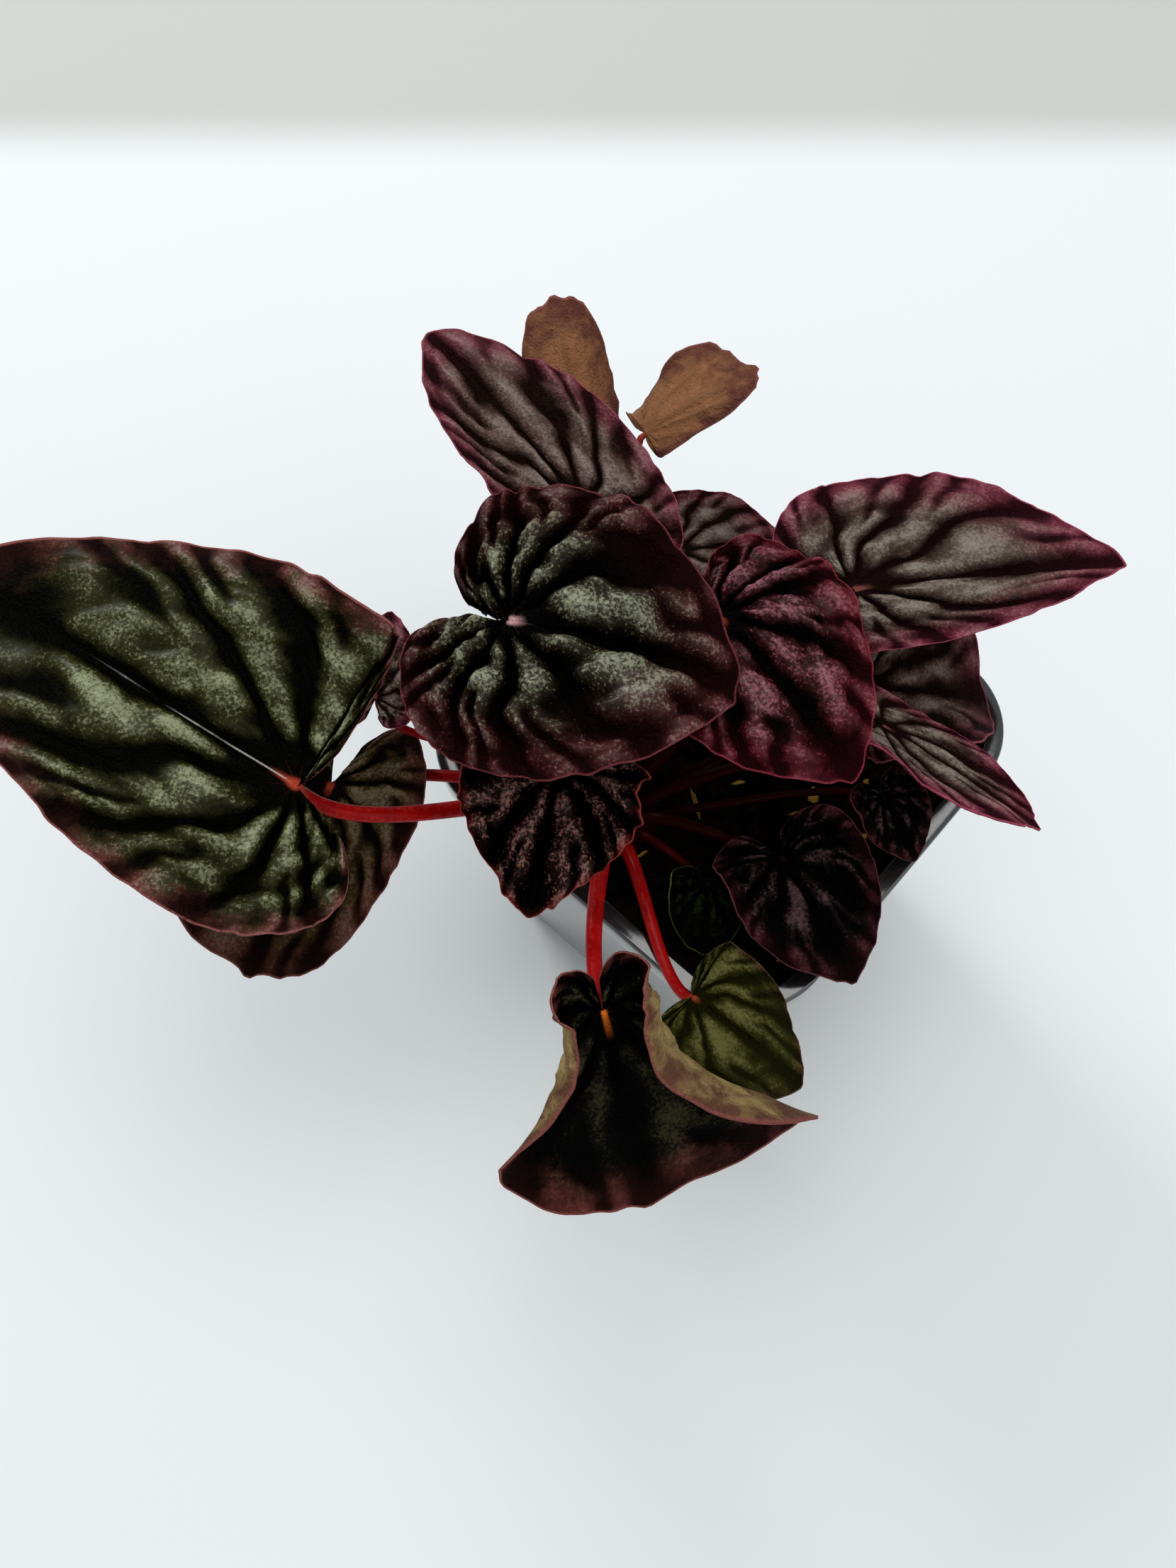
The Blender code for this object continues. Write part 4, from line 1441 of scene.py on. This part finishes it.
    def drill(self, pot: bpy.types.Object) -> None:
        """Cut the drain holes through the floor.

        Args:
            pot: The finished pot's object.
        """
        past = 2.0
        sides = self.drain_sides
        turn = turns(sides)[0]
        ring = np.stack([np.cos(turn), np.sin(turn)], -1) * self.drain_diameter / 2
        walls = grid_faces(2, sides, closed=True).tolist()
        caps = [list(range(sides))[::-1], list(range(sides, 2 * sides))]
        for quarter in range(4):
            angle = math.radians(self.turn + 90 * quarter)
            center = self.drain_offset * np.array([math.cos(angle), math.sin(angle)])
            ends = (-past, self.floor + past)
            points = [np.column_stack([ring + center, np.full(sides, height)]) for height in ends]
            mesh = bpy.data.meshes.new("drain")
            mesh.from_pydata((np.concatenate(points) * MM).tolist(), [], walls + caps)
            cutter = bpy.data.objects.new("drain", mesh)
            bpy.context.scene.collection.objects.link(cutter)
            modifier = pot.modifiers.new("drain", "BOOLEAN")
            modifier.operation = "DIFFERENCE"
            modifier.object = cutter
            bpy.context.view_layer.update()
            graph = bpy.context.evaluated_depsgraph_get()
            drilled = bpy.data.meshes.new_from_object(pot.evaluated_get(graph))
            pot.modifiers.clear()
            pot.data = drilled
            bpy.data.objects.remove(cutter, do_unlink=True)


@dataclass(frozen=True)
class Lumps:
    """One kind of loose bits on the soil.

    Size is the smallest and largest radius, stretch scales a lump along its own axes, and
    the first lumps lie at the spots, where they are large and of full tint.
    """

    name: str
    count: int
    size: Span
    stretch: tuple[float, float, float]
    seed: int
    flatness: float = 1.0
    spots: tuple[Span, ...] = ()


CRUMBS = Lumps("soil_crumbs", 1500, (0.35, 1.6), (1.0, 1.0, 0.8), 11)
BARK = Lumps(
    "bark_bits", 46, (0.5, 1.3), (2.2, 1.0, 0.5), 23, flatness=0.45,
    spots=(
        (30.0, 15.0), (32.0, 12.0), (28.0, 17.5), (3.5, 41.5), (0.5, 40.5), (-13.8, -21.4),
        (4.1, -7.9), (-4.5, -12.2), (16.3, -11.9), (14.0, -14.0),
    ),
)


@dataclass
class Soil:
    """Peat that fills the pot: a rough block, loose crumbs and bits of bark."""

    pot: Pot
    top: float = 70.5
    shoulder: float = 1.5
    roughness: float = 0.9
    rings: int = 90
    floor_gap: float = 0.3
    foot_clearance: float = 0.25
    top_clearance: float = 0.12
    lump_layers: int = 4
    lump_sides: int = 7
    edge_gap: float = 2.2
    seed: int = 404

    def height(self, x: Array, y: Array) -> Array:
        """Height of the peat.

        Formula: the solid's sum of slow sines and cosines, with finer noise on it.

        Args:
            x: Places along X.
            y: Places along Y.

        Returns:
            The heights.
        """
        slow = np.sin(0.42 * x + 1.3) * np.cos(0.37 * y - 0.6)
        slow += 0.6 * np.sin(0.81 * x - 0.55 * y) + 0.5 * np.cos(0.66 * x + 0.93 * y + 2.0)
        fine = 0.75 * fractal(x * 0.55 + 30, y * 0.55 + 30, self.seed, 4)
        return self.top + self.roughness * slow * 0.9 + fine

    def build(self) -> Surface:
        """Shrink the pot's inner outline towards the middle and lift it by the height.

        Returns:
            The block of peat.
        """
        bottom, shoulder = self.pot.floor + self.floor_gap, self.top - self.shoulder
        levels = ((bottom, self.foot_clearance), (shoulder, self.top_clearance))
        low, edge = (
            self.pot.outline(*self.pot.inner_size(np.array([height]), gap)) for height, gap in levels
        )
        disc = edge * np.linspace(1, 0, self.rings)[1:-1, None, None]
        column = np.ones((1, edge.shape[1], 1))
        rings = [
            np.concatenate([low, bottom * column], -1),
            np.concatenate([edge, shoulder * column], -1),
            np.concatenate([disc, self.height(disc[..., 0], disc[..., 1])[..., None]], -1),
        ]
        middle = float(self.height(np.zeros(1), np.zeros(1))[0])
        ends = ([0.0, 0.0, bottom], [0.0, 0.0, middle])
        surface = Surface.tube("soil_bed", np.concatenate(rings), *ends)
        x, y = surface.points[:, 0] * 0.4, surface.points[:, 1] * 0.4
        surface.values = {"tint": 0.5 + 0.5 * fractal(x, y, self.seed + 9)}
        return surface

    def ball(self) -> Surface:
        """A coarse ball of radius 1.

        Returns:
            The ball, from its pole at +Z down to the one at -Z.
        """
        tilt = np.linspace(0, np.pi, self.lump_layers + 2)[1:-1][:, None]
        spin = turns(self.lump_sides)
        across = [np.sin(tilt) * np.cos(spin), np.sin(tilt) * np.sin(spin)]
        rings = np.stack([*across, np.cos(tilt) + 0 * spin], -1)
        return Surface.tube("ball", rings, [0.0, 0.0, 1.0], [0.0, 0.0, -1.0])

    def scatter(self, kind: Lumps) -> Surface:
        """Strew lumps over the peat as one mesh.

        Formula: a ball's points are pushed in and out by a random share, stretched,
        turned, sunk a little and placed at random inside the pot's mouth.

        Args:
            kind: The lumps' number, sizes and seed.

        Returns:
            The lumps.
        """
        draw = np.random.default_rng(kind.seed)
        count, fixed, ball = kind.count, len(kind.spots), self.ball()
        per, dent, uneven, sunk, mouth = len(ball.points), 0.28, 0.3, 0.25, 1.72
        radius = kind.size[0] + (kind.size[1] - kind.size[0]) * draw.random(count) ** 3
        radius[:fixed] = kind.size[1]
        lumps = ball.points[None] * (1 + draw.uniform(-dent, dent, (count, per, 1)))
        lumps = lumps * np.array(kind.stretch) * (1 + draw.uniform(-uneven, uneven, (count, 1, 3)))
        lumps = lumps * radius[:, None, None]
        frames = np.linalg.qr(draw.normal(size=(count, 3, 3)))[0]
        frames *= np.sign(np.linalg.det(frames))[:, None, None]
        frames *= np.array([1.0, 1.0, kind.flatness])
        lumps = np.einsum("nij,nkj->nik", lumps, frames)

        reach = float(self.pot.inner_size(self.top)[0]) / 2 - self.edge_gap
        place = draw.uniform(-reach, reach, (count, 2))
        place[:fixed] = 0
        keep = np.abs(place).sum(1) < mouth * reach
        lumps, place, radius = lumps[keep], place[keep], radius[keep]
        turned = (place[:, 0] + 1j * place[:, 1]) * np.exp(1j * math.radians(self.pot.turn))
        x, y = turned.real, turned.imag
        if fixed:
            x[:fixed], y[:fixed] = np.array(kind.spots).T
        base = np.stack([x, y, self.height(x, y) + sunk * radius], -1)
        points = (lumps + base[:, None, :]).reshape(-1, 3)

        quads, *fans = ball.faces
        one = np.concatenate([quads[:, :3], quads[:, [0, 2, 3]], *fans])[:, ::-1]
        faces = (one[None] + (np.arange(len(base)) * per)[:, None, None]).reshape(-1, 3)
        tint = draw.random(len(base))
        tint[:fixed] = 1.0
        return Surface(kind.name, points, [faces], {"tint": np.repeat(tint, per)})


@dataclass(frozen=True)
class Lamp:
    """One soft square lamp: where it hangs, what it faces, its side, watts and tint."""

    name: str
    at: tuple[float, float, float]
    aim: tuple[float, float, float]
    size: float
    power: float
    tint: Color

    def hang(self) -> None:
        """Put the lamp into the scene, turned towards its aim."""
        light = bpy.data.lights.new(self.name, "AREA")
        light.shape = "SQUARE"
        light.size = self.size
        light.energy = self.power
        light.color = self.tint
        item = bpy.data.objects.new(self.name, light)
        back = np.array(self.at) - np.array(self.aim)
        tilt = math.acos(back[2] / np.linalg.norm(back))
        item.location = self.at
        item.rotation_euler = (tilt, 0.0, math.atan2(back[1], back[0]) + math.pi / 2)
        bpy.context.scene.collection.objects.link(item)


LAMPS = (
    Lamp("overhead", (0.08, 0.22, 1.3), (0.0, 0.0, 0.05), 0.8, 5.4, (1.0, 0.99, 0.97)),
    Lamp("window", (-0.7, 0.9, 0.9), (0.0, 0.0, 0.08), 0.4, 6.4, (0.97, 0.99, 1.0)),
    Lamp("fill", (0.9, -0.7, 1.1), (0.1, -0.2, 0.0), 1.2, 3.6, (1.0, 0.98, 0.97)),
)


@dataclass
class Studio:
    """White table, soft light and the photograph's camera."""

    camera_at: tuple[float, float, float] = (-0.0232, -0.0912, 0.2612)
    pitch: float = 66.5
    focal_pixels: float = 1661.0
    long_side_pixels: float = 2212.0
    sensor: float = 36.0
    table_reach: float = 2.5
    table_points: int = 41
    table_drop: float = 0.0004
    sky: Color = (0.93, 0.97, 1.0)
    sky_strength: float = 0.54

    def floor(self) -> None:
        """Lay a wide pale table top just under the pot."""
        count = self.table_points
        line = np.linspace(-self.table_reach, self.table_reach, count)
        x, y = np.meshgrid(line, line, indexing="ij")
        points = np.stack([x, y, np.full_like(x, -self.table_drop)], -1).reshape(-1, 3)
        mesh = bpy.data.meshes.new("table_top")
        mesh.from_pydata(points.tolist(), [], grid_faces(count, count).tolist())
        mesh.materials.append(FloorFinish().build())
        item = bpy.data.objects.new("table_top", mesh)
        bpy.context.scene.collection.objects.link(item)
        item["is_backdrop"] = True

    def lights(self) -> None:
        """Light the table softly from above and behind, with a pale surround."""
        world = bpy.data.worlds.new("surround")
        world.use_nodes = True
        background = world.node_tree.nodes["Background"]
        background.inputs["Color"].default_value = (*self.sky, 1.0)
        background.inputs["Strength"].default_value = self.sky_strength
        bpy.context.scene.world = world
        for lamp in LAMPS:
            lamp.hang()

    def camera(self) -> None:
        """Place the camera that the photograph's pot rim was matched with."""
        data = bpy.data.cameras.new("camera")
        data.sensor_width = self.sensor
        data.lens = self.focal_pixels * self.sensor / self.long_side_pixels
        data.clip_start = 0.01
        item = bpy.data.objects.new("camera", data)
        item.location = self.camera_at
        item.rotation_euler = (math.radians(90 - self.pitch), 0.0, 0.0)
        bpy.context.scene.collection.objects.link(item)
        bpy.context.scene.camera = item

    def build(self) -> None:
        """Make the floor, the lights and the camera, with plain tones."""
        self.floor()
        self.lights()
        self.camera()
        view = bpy.context.scene.view_settings
        view.view_transform = "Standard"
        view.look = "None"


def write_sizes(after: object) -> None:
    """Define a helper that turns box corners into plain lists; nothing is written.

    Args:
        after: The visual model's box; not used.
    """

    def plain(box: object) -> list:
        """Corners as lists of numbers."""
        return [[float(value) for value in corner] for corner in box]


def main() -> None:
    """Build every piece and report it."""
    logging.basicConfig(level=logging.INFO, format="%(name)s %(message)s")
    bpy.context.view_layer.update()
    Studio().build()
    pot = Pot()
    pot.drill(pot.build().make(PotFinish().build(), "pot", "pot"))
    soil = Soil(pot)
    # Painted shade: the peat's near-black tones also stand for the deep shade under the leaves.
    peat = EarthFinish("damp peat with painted shade", (0.0012, 0.0008, 0.0005), (0.014, 0.0085, 0.0050)).build()
    bark = EarthFinish("tan bark", (0.10, 0.035, 0.008), (0.60, 0.33, 0.055), 0.7).build()
    soil.build().make(peat, "soil", "soil")
    soil.scatter(CRUMBS).make(peat, "soil")
    soil.scatter(BARK).make(bark, "soil")
    crown, flesh = Crown(), StalkFinish().build()
    crown.build().make(flesh, "stalk", "crown")
    skins = {tone: tone.value.build() for tone in Tone}
    first_seed, seed_step = 100, 7
    for index, leaf in enumerate(LEAVES):
        Stalk(leaf, crown).build().make(flesh, "stalk", f"stalk_{leaf.name}")
        blade = Blade(leaf, first_seed + seed_step * index)
        blade.build().make(skins[leaf.tone], "leaf", f"blade_{leaf.name}")
    write_sizes(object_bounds())


if __name__ == "__main__":
    main()
